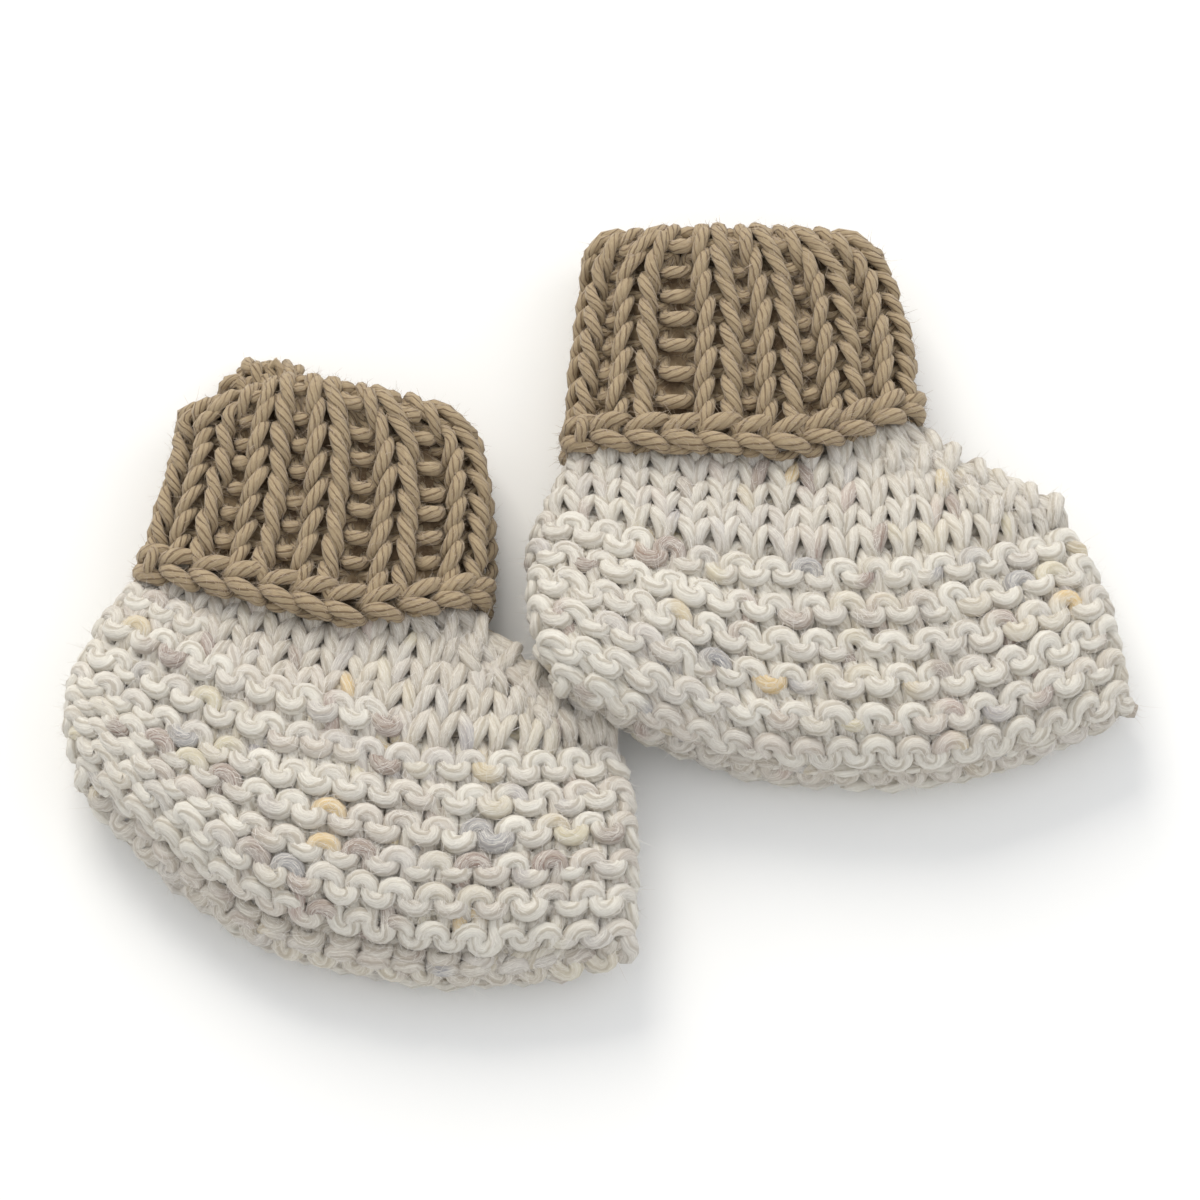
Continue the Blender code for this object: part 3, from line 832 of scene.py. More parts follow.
# %% Short rows, seam and yarn end
SHORT_ROWS_FROM = -0.06  # of the way round, past the heel fold
SHORT_ROWS = ((7, 0.33), (8, 0.13))  # which ridge, and how far round it goes
SHORT_ROW_LIFT, SHORT_ROW_SINKS = 0.9, 3.4  # millimetres out, and in again at the ends
SHORT_ROW_DROPS = 0.3  # courses, at the ends
LIP_STITCHES = 14.0  # from the heel fold towards the toe
LIP_ROWS = ((-2.7, 1.0), (-1.5, -1.0))  # millimetres up from the seam, and which side is in front
LIP_TALL = 4.2  # a loop of the lip's ridge, in millimetres
LIP_PUSHES = Pushes(0.06, 0.25, 0.0, 0.0)
SEAM_BEGINS = {"left": 0.40, "right": 0.02}  # of the way round
SEAM_ENDS = 0.48
SEAM_PITCH = 0.0177  # of the way round, about 3.6 mm
SEAM_SLANT = 0.015
SEAM_RADIUS, SEAM_RISE, SEAM_REACH = 1.4, 1.2, 0.5  # how far the yarn stands over and past the edges
SOLE_EDGE = 0.1  # the course of the edges that the seam joins
TAIL = np.array(  # x, y, height and radius at points along the yarn's end
    [
        (84.6, -17.4, 5.6, 1.2),
        (87.0, -18.0, 5.4, 1.4),
        (89.2, -18.5, 5.2, 1.45),
        (90.2, -18.8, 5.1, 1.1),
    ]
)
TAIL_BROWN = "#8C7660"
UPWARD = np.array([0.0, -0.3, 0.95])  # out of the cloth at the sole's rounded edge


def repeated(loop, phase):
    """One loop read again at every stitch of a row that has two ends; side is within the stitch."""
    loop[:, 0] -= np.arange(len(loop)) / len(loop)
    return smooth_at(loop, phase % 1.0 * len(loop)).T


def short_row_strands(ground, dice):
    strands = []
    for ridge, ends_at in SHORT_ROWS:
        for start, front in ((ridge - RIDGE_DROP, 1.0), (ridge - RIDGE_DROP + 0.5, -1.0)):
            first, last = SHORT_ROWS_FROM * GARTER_STITCHES, ends_at * GARTER_STITCHES
            phase = np.arange(first, last, 1.0 / NEAR_SAMPLES)
            side, rise, out, thick = repeated(garter_loop(front), phase)
            round_ring = phase / GARTER_STITCHES
            ends = smoothstep(ends_at - 0.04, ends_at, round_ring)
            ends = ends + 1.0 - smoothstep(SHORT_ROWS_FROM, SHORT_ROWS_FROM + 0.03, round_ring)
            side = side + phase + dice.normal(0.0, 0.03, 1)
            up = start + rise / ROW_RISE - SHORT_ROW_DROPS * ends
            out = out + SHORT_ROW_LIFT - SHORT_ROW_SINKS * ends
            line, outward = stand(ground, up, side / GARTER_STITCHES, out)
            line[:, 2] = np.maximum(line[:, 2], CREAM_RADIUS)
            strands.append(strand_of(line, outward, CREAM_RADIUS * thick, False, dyed(line, dice)))
    return strands


def sole_edges(ground, place):
    """The upper and the lower half's edge, facing each other across the sole's seam."""
    low = np.full(len(place), SOLE_EDGE)
    near, _ = stand(ground, low, place, 0.0)
    far, _ = stand(ground, low, 1.0 - place, 0.0)
    return near, far


def lip_strands(ground, dice):
    """The lower half's first ridge, on the band by which it stands out past the upper half."""
    strands = []
    for start, front in LIP_ROWS:
        loop = garter_loop(front)
        loop[:, 1] *= LIP_TALL / GARTER_TALL
        phase = np.arange(0.3, LIP_STITCHES, 1.0 / NEAR_SAMPLES)
        side, rise, out, thick = repeated(loop, phase)
        side = side + phase + uneven(phase, LIP_STITCHES + 1, LIP_PUSHES.side, dice)
        near, far = sole_edges(ground, side / GARTER_STITCHES)
        across = unit(near - far)
        rise = start + rise + uneven(phase, LIP_STITCHES + 1, LIP_PUSHES.rise, dice)
        line = (near + far) / 2.0 + across * rise[:, None] + UPWARD * (out + 0.7)[:, None]
        line[:, 2] = np.maximum(line[:, 2], CREAM_RADIUS)
        upward = np.broadcast_to(UPWARD, line.shape)
        # painted shade: the lip, under the upper half's edge, is darkened to greige
        dye = dyed(line, dice, LIP_PAINTED_SHADE)
        strands.append(strand_of(line, upward, 0.95 * CREAM_RADIUS * thick, False, dye))
    return strands


def seam_strand(bootie, ground, dice):
    """Over and over through both edges: a flattened spiral that runs along the seam."""
    begins = SEAM_BEGINS[bootie.side]
    stitches = (SEAM_ENDS - begins) / SEAM_PITCH
    turns = np.arange(0.0, stitches, 1.0 / NEAR_SAMPLES)
    angle = 2.0 * np.pi * turns
    near, far = sole_edges(ground, begins + SEAM_PITCH * turns + SEAM_SLANT * np.cos(angle))
    across = (near - far) / 2.0
    width = np.linalg.norm(across, axis=1, keepdims=True)
    across = across * (1.0 + SEAM_REACH / np.maximum(width, 1.0))
    lift = np.array([0.0, 0.0, SEAM_RISE])
    line = (near + far) / 2.0 + across * np.cos(angle)[:, None] + lift * np.sin(angle)[:, None]
    line[:, 2] = np.maximum(line[:, 2], CREAM_RADIUS)
    radius = SEAM_RADIUS * (1.0 + uneven(turns, stitches + 1, 0.08, dice))
    upward = np.broadcast_to(UPWARD, line.shape)
    return strand_of(line, upward, radius, False, dyed(line, dice))


def tail_strand():
    places = np.linspace(0.0, len(TAIL) - 1.0, 14)
    line = np.stack([np.interp(places, np.arange(len(TAIL)), TAIL[:, axis]) for axis in range(3)], axis=1)
    radius = np.interp(places, np.arange(len(TAIL)), TAIL[:, 3])
    dye = np.broadcast_to(np.array(linear(TAIL_BROWN)[:3] + (0.9,)), (len(line), 4))
    upward = np.broadcast_to(np.array([0.0, 0.0, 1.0]), line.shape)
    return strand_of(line, upward, radius, False, dye)


print("short rows on the left heel:", 2 * len(SHORT_ROWS), "stitches on the lip:", int(LIP_STITCHES))

# %% [markdown]
# ## The instep
#
# Above the last ridge every row is knitted the same way, which gives plain stitch: columns of V
# shapes. The band narrows to the ankle because stitches are knitted together at the toe end of
# each row, so the columns stand straight up most of the way and those near the toe crowd and slant.

# %% Plain rows
PLAIN = mirrored(
    [
        (0.00, 0.3, -1.2, 0.85),
        (0.22, 0.4, -1.0, 0.85),
        (0.43, 1.0, -0.2, 0.80),
        (0.43, 2.4, 0.8, 0.86),
        (0.31, 4.3, 1.3, 0.94),
        (0.14, 6.2, 0.8, 0.88),
        (0.04, 7.5, -0.4, 0.80),
        (0.20, 8.3, -1.1, 0.85),
        (0.50, 8.2, -1.3, 0.88),
    ]
)
FIRST_PLAIN_ROW = 6.42  # its course
PLAIN_ROW = 0.64  # courses from one plain row to the next
PLAIN_ROWS = 5
PLAIN_STITCH = 5.0  # its width in millimetres
PLAIN_PUSHES = Pushes(0.07, 0.5, 0.15, 0.09)
PLAIN_LINE = 40.0  # millimetres from the heel end to the column that the others stand beside
HEEL_COLUMNS = 9  # from that column back past the heel fold
GATHER = 13.0  # the crowded end towards the toe, in millimetres
GATHERED_STITCHES = 4
FAR_STITCH = 6.0


def plain_frame(bootie, ground):
    """For each ring of the ground, the length of its near half and where the straight column is."""
    near = ground.points[:, : GROUND_STEPS + 1]
    run = np.cumsum(np.linalg.norm(np.diff(near, axis=1), axis=2), axis=1)
    run = np.concatenate([np.zeros((len(run), 1)), run], axis=1)
    turn = np.radians(bootie.turn)
    away = near[..., :2] - np.array([bootie.at_x, bootie.at_y])
    from_heel = away[..., 0] * np.cos(turn) + away[..., 1] * np.sin(turn)
    line_at = np.array([np.interp(PLAIN_LINE, ring, steps) for ring, steps in zip(from_heel, run)])
    return run[:, -1], line_at


def plain_counts(length, line_at):
    """Stitches past the straight column on the near side, and on the far side."""
    straight = int(round((length - GATHER - line_at) / PLAIN_STITCH))
    far = int(round((length - HEEL_COLUMNS * PLAIN_STITCH + line_at) / FAR_STITCH))
    return straight, far


def plain_places(stitch, straight, far, length, line_at):
    """Millimetres round the ring for each stitch number, counted from the straight column."""
    held = line_at + np.minimum(stitch, straight) * PLAIN_STITCH
    crowd = np.clip(stitch - straight, 0.0, GATHERED_STITCHES)
    held_end = line_at + straight * PLAIN_STITCH
    near = held + crowd * (length - held_end) / GATHERED_STITCHES
    beyond = np.maximum(stitch - straight - GATHERED_STITCHES, 0.0)
    back = 2.0 * length + line_at - HEEL_COLUMNS * PLAIN_STITCH
    return near + beyond * (back - length) / far


def instep_strands(bootie, ground, dice):
    lengths, lines_at = plain_frame(bootie, ground)
    rings = np.arange(len(lengths))
    strands = []
    for row in range(PLAIN_ROWS):
        start = FIRST_PLAIN_ROW + row * PLAIN_ROW
        ring = (start + 0.6 - ground.low) / ground.step
        straight, far = plain_counts(np.interp(ring, rings, lengths), np.interp(ring, rings, lines_at))
        count = HEEL_COLUMNS + straight + GATHERED_STITCHES + far
        shown = HEEL_COLUMNS + straight + GATHERED_STITCHES + FOLD_STITCHES
        yarn, phase = row_of([PLAIN], count, shown)
        side, rise, out, thick = yarn.T
        push = PLAIN_PUSHES
        side = side + uneven(phase * 2.0, count * 2, push.side, dice)
        up = start + (rise + uneven(phase * 2.0, count * 2, push.rise, dice)) / ROW_RISE
        ring = (up - ground.low) / ground.step
        length, line_at = np.interp(ring, rings, lengths), np.interp(ring, rings, lines_at)
        place = plain_places(side - HEEL_COLUMNS, straight, far, length, line_at)
        out = out + uneven(phase, count, push.out, dice)
        line, outward = stand(ground, up, place / length / 2.0, out)
        line[:, 2] = np.maximum(line[:, 2], CREAM_RADIUS)
        radius = CREAM_RADIUS * thick * (1.0 + uneven(phase * 2.0, count * 2, push.thick, dice))
        # painted shade: the instep's yarn is darkened to greige, for the shade under the cuff
        dye = dyed(line, dice, INSTEP_PAINTED_SHADE[bootie.side])
        strands.append(strand_of(line, outward, radius, True, dye))
    return strands


print("plain rows:", PLAIN_ROWS, "each rising, mm:", round(PLAIN_ROW * ROW_RISE, 1))

# %% [markdown]
# Where two stitches are knitted together, one leg is pulled long and lies over its neighbours.
# These legs stand three abreast along the slope from the ankle down to the toe. Each is a short
# piece of yarn whose ends sink between the others.

# %% Gathered legs
GATHERED_LEGS = 18
LOWEST_LEG, LEGS_SPAN = 6.6, 2.7  # courses
LEG_RISE = 0.82  # courses from a leg's foot to its head
LEG_SLANT = 1.2  # millimetres that each end stands aside from the middle
LEG_LEAN = 0.35  # how much of the toe fold's slope a leg follows
LEGS_FROM_TOE = (1.6, 5.6, 9.6)  # millimetres from the fold to each of the three
LEG_STANDS, LEG_SINKS = 2.1, 2.9  # millimetres out at the middle, and in again at the ends


def gathered_strands(bootie, ground, dice):
    lengths, _ = plain_frame(bootie, ground)
    along = np.linspace(-1.0, 1.0, 24)
    strands = []
    for leg in range(GATHERED_LEGS):
        low = LOWEST_LEG + LEGS_SPAN * (leg + dice.uniform(0.0, 0.8)) / GATHERED_LEGS
        up = low + LEG_RISE * dice.uniform(0.8, 1.15) * (along + 1.0) / 2.0
        from_toe = LEGS_FROM_TOE[leg % len(LEGS_FROM_TOE)] + dice.normal(0.0, 0.6)
        from_toe = from_toe + dice.normal(0.0, LEG_SLANT) * along
        length = np.interp((up - ground.low) / ground.step, np.arange(len(lengths)), lengths)
        place = length.mean() + LEG_LEAN * (length - length.mean()) - from_toe
        out = LEG_STANDS - LEG_SINKS * along**4 + dice.normal(0.0, 0.2)
        line, outward = stand(ground, up, place / length / 2.0, out)
        radius = CREAM_RADIUS * (1.0 - 0.3 * along**2) * dice.uniform(0.8, 1.0)
        # painted shade: the gathered legs are darkened to greige, for the shade under the cuff
        dye = dyed(line, dice, INSTEP_PAINTED_SHADE[bootie.side])
        strands.append(strand_of(line, outward, radius, False, dye))
    return strands


print("gathered legs at each toe:", GATHERED_LEGS)

# %% [markdown]
# ## The ribbed cuff
#
# One knit stitch, one purl stitch, all the way round: the knit columns spring forward and the purl
# columns fold away between them, so the cuff grips. Where a column is pulled wide, the purl
# stitches show as small bars with dark holes between. The cuff is turned down, so its stitches
# stand on their heads, and the rows run on over the fold and down inside the ankle. A point of
# either loop is side, rise, out and thickness, as in the other rows.

# %% Ribbed rows
TAN_RADIUS = 0.98
KNIT = mirrored(
    [
        (0.00, 0.7, -1.7, 0.90),
        (0.18, 0.1, -1.6, 0.90),
        (0.32, 0.0, -0.8, 0.90),
        (0.33, 1.5, 0.8, 1.04),
        (0.23, 3.8, 1.4, 1.16),
        (0.12, 6.1, 0.9, 1.06),
        (0.09, 7.6, -0.4, 0.90),
        (0.22, 8.5, -1.3, 0.90),
        (0.50, 8.9, -1.5, 0.90),
    ]
)
PURL = mirrored(
    [
        (0.00, 0.7, -1.9, 0.85),
        (0.22, 0.2, -2.3, 0.85),
        (0.34, 0.9, -2.9, 0.85),
        (0.34, 2.7, -3.2, 0.85),
        (0.28, 5.0, -3.0, 0.85),
        (0.16, 7.0, -2.2, 0.90),
        (0.12, 8.3, -1.2, 1.05),
        (0.26, 9.0, -0.4, 1.22),
        (0.50, 9.1, -0.1, 1.30),
    ]
)
CUFF_STITCHES = 24
RIB_ROW = 4.7  # millimetres from one row to the next
FIRST_RIB_ROW = 7.2  # its heads reach down to the chain
LAST_RIB_ROW = 14.0  # millimetres below the fold, inside
RIB_PUSHES = Pushes(0.035, 0.45, 0.2, 0.06)
KNIT_HALF = 0.060  # half of a knit column's width, as a share of the near side
FAR_COLUMNS = 6
COLUMNS = {  # the knit columns' middles across the near side, from the heel fold to the toe fold
    "left": (0.03, 0.165, 0.335, 0.505, 0.70, 0.895),
    "right": (0.045, 0.20, 0.425, 0.583, 0.745, 0.90),
}
TopLean = namedtuple("TopLean", "place aside")
TOP_LEANS = (  # how far round the ring the columns lean as they go over the fold
    TopLean(0.0, 0.04),
    TopLean(0.09, 0.05),
    TopLean(0.2, 0.0),
    TopLean(0.42, -0.045),
    TopLean(0.5, -0.02),
    TopLean(0.6, 0.0),
    TopLean(0.9, 0.0),
    TopLean(1.0, 0.04),
)
WIDE_GAP = 0.06  # a purl column as wide as this shows its bars in full
PURL_HIDES = 2.2  # millimetres behind the ground where a narrow column's bars are kept
FOLD_RADIUS = 3.0
FOLD_BEGINS = 7.0  # millimetres below the fold where the loops begin to flatten
LEAN_BEGINS, LEAN_ENDS = 8.0, 6.0  # millimetres below the fold, and past it, along the ground
FOLD_SHOWS = 9.0  # rows this near to the fold show in the outline all round
FOLD_SQUEEZE, FOLD_OUT = 0.5, 1.1  # over the fold the loops are flatter and stand further out
DEEPEST, DEEPEST_AT_FOLD = -3.4, 2.9  # no loop sinks below the first, or as much less at the fold
CUFF_LOW = -4.0  # the ground begins below the edge, to carry the chain's lower arms
GROUND_INSIDE = 26.0  # and it ends this far down inside
CUFF_YARN_DEPTH = 1.5  # millimetres from the solid's face in to the middle of the tan rows


def cuff_ground(bootie, step=0.25):
    """The cuff's ground runs up outside, over the fold and down inside, in millimetres."""
    along = np.arange(CUFF_LOW, CUFF_TURNS + np.pi * FOLD_RADIUS + GROUND_INSIDE, step)
    angle = np.clip((along - CUFF_TURNS) / FOLD_RADIUS, 0.0, np.pi)
    radius = FOLD_RADIUS - CUFF_YARN_DEPTH
    inside = np.maximum(along - CUFF_TURNS - np.pi * FOLD_RADIUS, 0.0)
    courses = np.minimum(along, CUFF_TURNS) + radius * np.sin(angle) - inside
    insets = FOLD_RADIUS - radius * np.cos(angle)
    points = closed_rings(CUFF_RINGS, cuff_drape, courses, insets, bootie, GROUND_STEPS)
    return Ground(points, outward_of(points), CUFF_LOW, step)


def column_knots(bootie):
    """Ring places where the stitches begin: knit columns keep their width, purls take the rest."""
    centres = np.array(COLUMNS[bootie.side])
    far = (np.arange(FAR_COLUMNS) + 0.5) / FAR_COLUMNS
    middles = np.concatenate([centres * 0.5, 0.5 + far * 0.5])
    places = np.stack([middles - KNIT_HALF / 2, middles + KNIT_HALF / 2], axis=1).ravel()
    return np.concatenate([places, [places[0] + 1.0]])


def cuff_strands(bootie, ground, dice):
    knots = column_knots(bootie)
    widths = np.diff(knots)
    count, push = CUFF_STITCHES, RIB_PUSHES
    top = CUFF_TURNS + np.pi * FOLD_RADIUS + LAST_RIB_ROW
    strands = []
    for start in np.arange(FIRST_RIB_ROW, top, RIB_ROW):
        over_fold = abs(start - CUFF_TURNS - FOLD_RADIUS) < FOLD_SHOWS
        shown = count if over_fold else count / 2 + FOLD_STITCHES
        yarn, phase = row_of([KNIT, PURL], count, shown)
        side, rise, out, thick = yarn.T
        number = np.floor(phase).astype(int)
        narrowness = 1.0 - np.clip(widths[number] / WIDE_GAP * 2.0, 0.0, 1.0)
        hidden = (number % 2 == 1) * narrowness * (out + PURL_HIDES).clip(0.0)
        side = side + uneven(phase * 2.0, count * 2, push.side, dice)
        rise = rise + uneven(phase * 2.0, count * 2, push.rise, dice)
        up = start - rise
        folded = smoothstep(CUFF_TURNS - FOLD_BEGINS, CUFF_TURNS, up)
        out = out - hidden + uneven(phase, count, push.out, dice)
        out = out * (1.0 - FOLD_SQUEEZE * folded) + FOLD_OUT * folded
        out = np.maximum(out, DEEPEST + DEEPEST_AT_FOLD * folded)
        place = np.interp(side % count, np.arange(count + 1), knots)
        lean = np.interp(place % 1.0, *np.array(TOP_LEANS).T)
        place = place + lean * smoothstep(CUFF_TURNS - LEAN_BEGINS, CUFF_TURNS + LEAN_ENDS, up)
        line, outward = stand(ground, up, place, out)
        line[:, 2] = np.maximum(line[:, 2], TAN_RADIUS)
        radius = TAN_RADIUS * thick * (1.0 + uneven(phase * 2.0, count * 2, push.thick, dice))
        strands.append(strand_of(line, outward, radius, True))
    return strands


print("cuff stitches:", CUFF_STITCHES, "in rows, mm apart:", RIB_ROW)

# %% [markdown]
# ## The bound-off chain
#
# The last row is bound off: each loop is drawn through the one before, and the chain that this
# leaves lies along the edge like a plait. One link is a short path of points, up one arm, round
# behind the next link and back along the other arm, and every link repeats it. At the end of the
# round the yarn is tied off with a small knot that sits on the chain. A point of either is a share
# of a link along the edge, millimetres across it and out of it, and a share of the thickness.

# %% Chain
ARM = (
    (0.00, 0.20, -1.4, 0.75),
    (0.06, 0.40, -0.4, 0.86),
    (0.32, 0.90, 0.9, 1.08),
    (0.64, 1.65, 1.5, 1.20),
    (0.96, 2.30, 0.9, 1.08),
    (1.14, 2.55, -0.3, 0.90),
    (1.20, 1.60, -1.5, 0.80),
)
LINK = np.array(
    ARM
    + ((1.22, 0.0, -2.0, 0.80),)
    + tuple((along, -across, out, thick) for along, across, out, thick in ARM[::-1])
    + ((0.30, 0.0, -2.4, 0.80), (0.70, 0.0, -2.4, 0.80))
)
KNOT = np.array(
    [
        (-0.50, 0.2, 1.0, 0.9),
        (-0.34, 1.9, 1.0, 0.9),
        (0.05, 2.5, 1.0, 0.9),
        (0.24, 1.1, 2.1, 1.0),
        (0.20, -1.0, 2.2, 1.0),
        (0.02, -2.4, 1.0, 0.9),
        (-0.36, -1.8, 1.0, 0.9),
    ]
)
LINKS = 22
LINK_SAMPLES, KNOT_SAMPLES = 3.0, 5.0  # from one point of the table to the next
CHAIN_RADIUS, KNOT_RADIUS = 1.17, 1.05
CHAIN_PUSHES = Pushes(0.05, 0.2, 0.0, 0.05)
CHAIN_COURSE = 0.3  # the chain's middle, in millimetres up the cuff
CHAIN_OUT = 0.5
KNOT_PLACE = 0.033  # of the way round the cuff's edge


def chain_strand(bootie, ground, dice):
    points = np.concatenate([LINK + np.array([number, 0.0, 0.0, 0.0]) for number in range(LINKS)])
    points[:, 0] -= np.arange(len(points)) / len(LINK)
    phase = np.arange(0.0, LINKS, 1.0 / (LINK_SAMPLES * len(LINK)))
    link, across, out, thick = smooth_at(points, phase * len(LINK)).T
    link = link + phase + uneven(phase, LINKS, CHAIN_PUSHES.side, dice)
    across = across + uneven(phase, LINKS, CHAIN_PUSHES.rise, dice)
    line, outward = stand(ground, CHAIN_COURSE + across, link / LINKS, out + CHAIN_OUT)
    line[:, 2] = np.maximum(line[:, 2], TAN_RADIUS)
    radius = CHAIN_RADIUS * thick * (1.0 + uneven(phase, LINKS, CHAIN_PUSHES.thick, dice))
    return strand_of(line, outward, radius, True)


def knot_strand(ground):
    link, across, out, thick = smooth_at(KNOT, np.arange(0.0, len(KNOT), 1.0 / KNOT_SAMPLES)).T
    place = KNOT_PLACE + link / LINKS
    line, outward = stand(ground, CHAIN_COURSE + across, place, out + CHAIN_OUT)
    return strand_of(line, outward, KNOT_RADIUS * thick, True)


print("links round each cuff's edge:", LINKS)

# %% [markdown]
# ## The cloth behind the yarn
#
# Between the loops a real bootie shows more yarn, in shade. A thin closed wall just behind the
# loops stands for all of it, so that no gap shows through to the other side. It is the cloth's own
# body, with an outer and an inner face, made from the same rings as the loops' ground. It was
# never a lining sewn in: a knitter makes none.

# %% Walls of rings
def band_faces(ring_count, ring_length, closed):
    """Quads between each ring and the next, and back to the first where the band is closed."""
    faces = []
    for ring in range(ring_count if closed else ring_count - 1):
        above = (ring + 1) % ring_count
        for step in range(ring_length):
            after = (step + 1) % ring_length
            lower, upper = ring * ring_length, above * ring_length
            faces.append((lower + step, lower + after, upper + after, upper + step))
    return faces


def strip_faces(first, ring_length):
    """Quads across one ring, from its upper half to its lower half, to shut the sole."""
    faces = []
    for step in range(ring_length // 2):
        corners = [step, step + 1, ring_length - step - 1, (ring_length - step) % ring_length]
        faces.append(tuple(first + corner for corner in dict.fromkeys(corners)))
    return faces


def lining_piece(name, rings, faces, material):
    mesh = bpy.data.meshes.new(name)
    mesh.from_pydata([tuple(corner * MM) for corner in rings.reshape(-1, 3)], [], faces)
    mesh.shade_smooth()
    mesh.update()
    return add_piece(name, mesh, material)


print("faces that shut a ring of 120 points:", len(strip_faces(0, 120)))

# %% [markdown]
# The back of knitting is rows of small bumps, all in shade. One wave up the cloth, bent by another
# across it, gives the rows, and fine noise the fibres; the low parts of the bumps are coloured
# darker, which is painted shade. It is the same wool and cotton, so it is as rough, but its colours
# are darker: painted shade, for the light that gets in between the loops and is lost there.

# %% Backs of the cloth
STITCH_WIDE = 5.5  # millimetres
STITCH_PAIR = 6.4  # two rows, which is one ridge
FIBRE_SCALE = 1400.0  # bumps of about 0.7 mm
ROW_SHARE = 0.35


def cloth_back(name, light, shade):
    material = new_material(name)
    tree = material.node_tree
    place = add_node(tree, "ShaderNodeTexCoord")
    parts = add_node(tree, "ShaderNodeSeparateXYZ", {"Vector": place.outputs["Object"]})
    turns = {"X": 2.0 * np.pi / (STITCH_WIDE * MM), "Y": 2.0 * np.pi / (STITCH_PAIR * MM)}
    across, up = (
        add_node(tree, "ShaderNodeMath", {0: parts.outputs[axis]}, {1: turn}, operation="MULTIPLY")
        for axis, turn in turns.items()
    )
    sway = add_node(tree, "ShaderNodeMath", {0: across.outputs[0]}, operation="SINE")
    bent = add_node(
        tree, "ShaderNodeMath", {0: sway.outputs[0], 2: up.outputs[0]}, {1: 0.9}, operation="MULTIPLY_ADD"
    )
    rows = add_node(tree, "ShaderNodeMath", {0: bent.outputs[0]}, operation="SINE")
    fibres = add_node(
        tree, "ShaderNodeTexNoise", {"Vector": place.outputs["Object"]}, {"Scale": FIBRE_SCALE, "Detail": 3.0}
    )
    height = add_node(
        tree,
        "ShaderNodeMath",
        {0: rows.outputs[0], 2: fibres.outputs["Fac"]},
        {1: ROW_SHARE},
        operation="MULTIPLY_ADD",
    )
    # painted shade: darker in the hollows between the bumps
    tone = add_node(
        tree, "ShaderNodeMapRange", {"Value": height.outputs[0]}, {1: 0.1, 2: 0.9, 3: 0.0, 4: 1.0}
    )
    colour = add_node(
        tree,
        "ShaderNodeMix",
        {0: tone.outputs[0]},
        {6: linear(shade), 7: linear(light)},
        data_type="RGBA",
    )
    bump = add_node(
        tree, "ShaderNodeBump", {"Height": height.outputs[0]}, {"Strength": 0.8, "Distance": 0.6 * MM}
    )
    shader = add_node(
        tree,
        "ShaderNodeBsdfPrincipled",
        {"Base Color": colour.outputs[2], "Normal": bump.outputs["Normal"]},
        {"Roughness": 0.95, "Specular IOR Level": 0.1},
    )
    add_node(tree, "ShaderNodeOutputMaterial", {"Surface": shader.outputs[0]})
    return material


# both walls' colours are darker than their yarns: painted shade behind the loops
cream_shade = cloth_back("back_of_cream_knitting", "#DCD3C4", "#BFB3A2")
tan_shade = cloth_back("back_of_tan_knitting", "#A08C6F", "#725F4A")
print("backs:", cream_shade.name, tan_shade.name)

# %% [markdown]
# Each wall is a list of stations, one for each of its rings: the course that the ring is at, and
# how many millimetres it is drawn in behind the solid's face. The foot's wall goes up outside and
# comes down inside, and is shut along the sole. The instep's is a sleeve. The cuff's goes up, over
# the fold, down inside the ankle and back to its edge.

# %% Linings
WALL_STEPS = 60  # along each half of a ring
CREAM_BEHIND, FOOT_INNER, INSTEP_INNER = 1.9, 3.6, 3.4
INSTEP_BEHIND = 2.0
TAN_BEHIND, TAN_AT_FOLD, TAN_INNER, TAN_BACK = 3.5, 4.4, 4.8, 4.6
FOOT_TOP, INSTEP_LOW, INSTEP_TOP = 6.95, 6.98, 10.9  # courses
CUFF_EDGE = 1.0


def stations(behind, *courses):
    return [(course, behind) for course in courses]


def rings_at(rings, drape, places, bootie):
    courses, insets = np.array(places).T
    return closed_rings(rings, drape, courses, insets, bootie, WALL_STEPS)


def foot_lining(bootie, material):
    outside = stations(CREAM_BEHIND, *np.linspace(0.6, FOOT_TOP, 26))
    inside = stations(FOOT_INNER, FOOT_TOP, 5.5, 4.0, 2.5, 1.6)
    rings = rings_at(BODY_RINGS, body_drape, outside + inside, bootie)
    length = rings.shape[1]
    faces = band_faces(len(rings), length, closed=False) + strip_faces(0, length)
    faces += strip_faces((len(rings) - 1) * length, length)
    return lining_piece(f"{bootie.side}_foot_lining", rings, faces, material)


def instep_lining(bootie, material):
    outside = stations(INSTEP_BEHIND, *np.linspace(INSTEP_LOW, INSTEP_TOP, 14))
    inside = stations(INSTEP_INNER, INSTEP_TOP, 9.6, 8.3, INSTEP_LOW)
    rings = rings_at(BODY_RINGS, body_drape, outside + inside, bootie)
    faces = band_faces(len(rings), rings.shape[1], closed=True)
    return lining_piece(f"{bootie.side}_instep_lining", rings, faces, material)


def cuff_lining(bootie, material):
    outside = stations(TAN_BEHIND, *np.linspace(CUFF_EDGE, CUFF_TURNS - 1.0, 12))
    top = stations(TAN_AT_FOLD, CUFF_TURNS - 0.6)
    inside = stations(TAN_INNER, *np.linspace(CUFF_TURNS - 1.0, ANKLE_JOIN, 10))
    back = stations(TAN_BACK, ANKLE_JOIN, CUFF_EDGE)
    rings = rings_at(CUFF_RINGS, cuff_drape, outside + top + inside + back, bootie)
    faces = band_faces(len(rings), rings.shape[1], closed=True)
    return lining_piece(f"{bootie.side}_cuff_lining", rings, faces, material)


print("the foot's wall, mm thick:", round(FOOT_INNER - CREAM_BEHIND, 1))

# %% [markdown]
# ## Stray fibres
#
# Spun yarn is never smooth: ends of fibres stand out of it, soften its outline and veil the gaps.
# Each fibre is a narrow ribbon of two faces that leaves the yarn at a low angle and bends away.
# Real fibres are 0.02 mm thick; they are drawn three times as thick and fewer. None grows on the
# side that lies on the table.

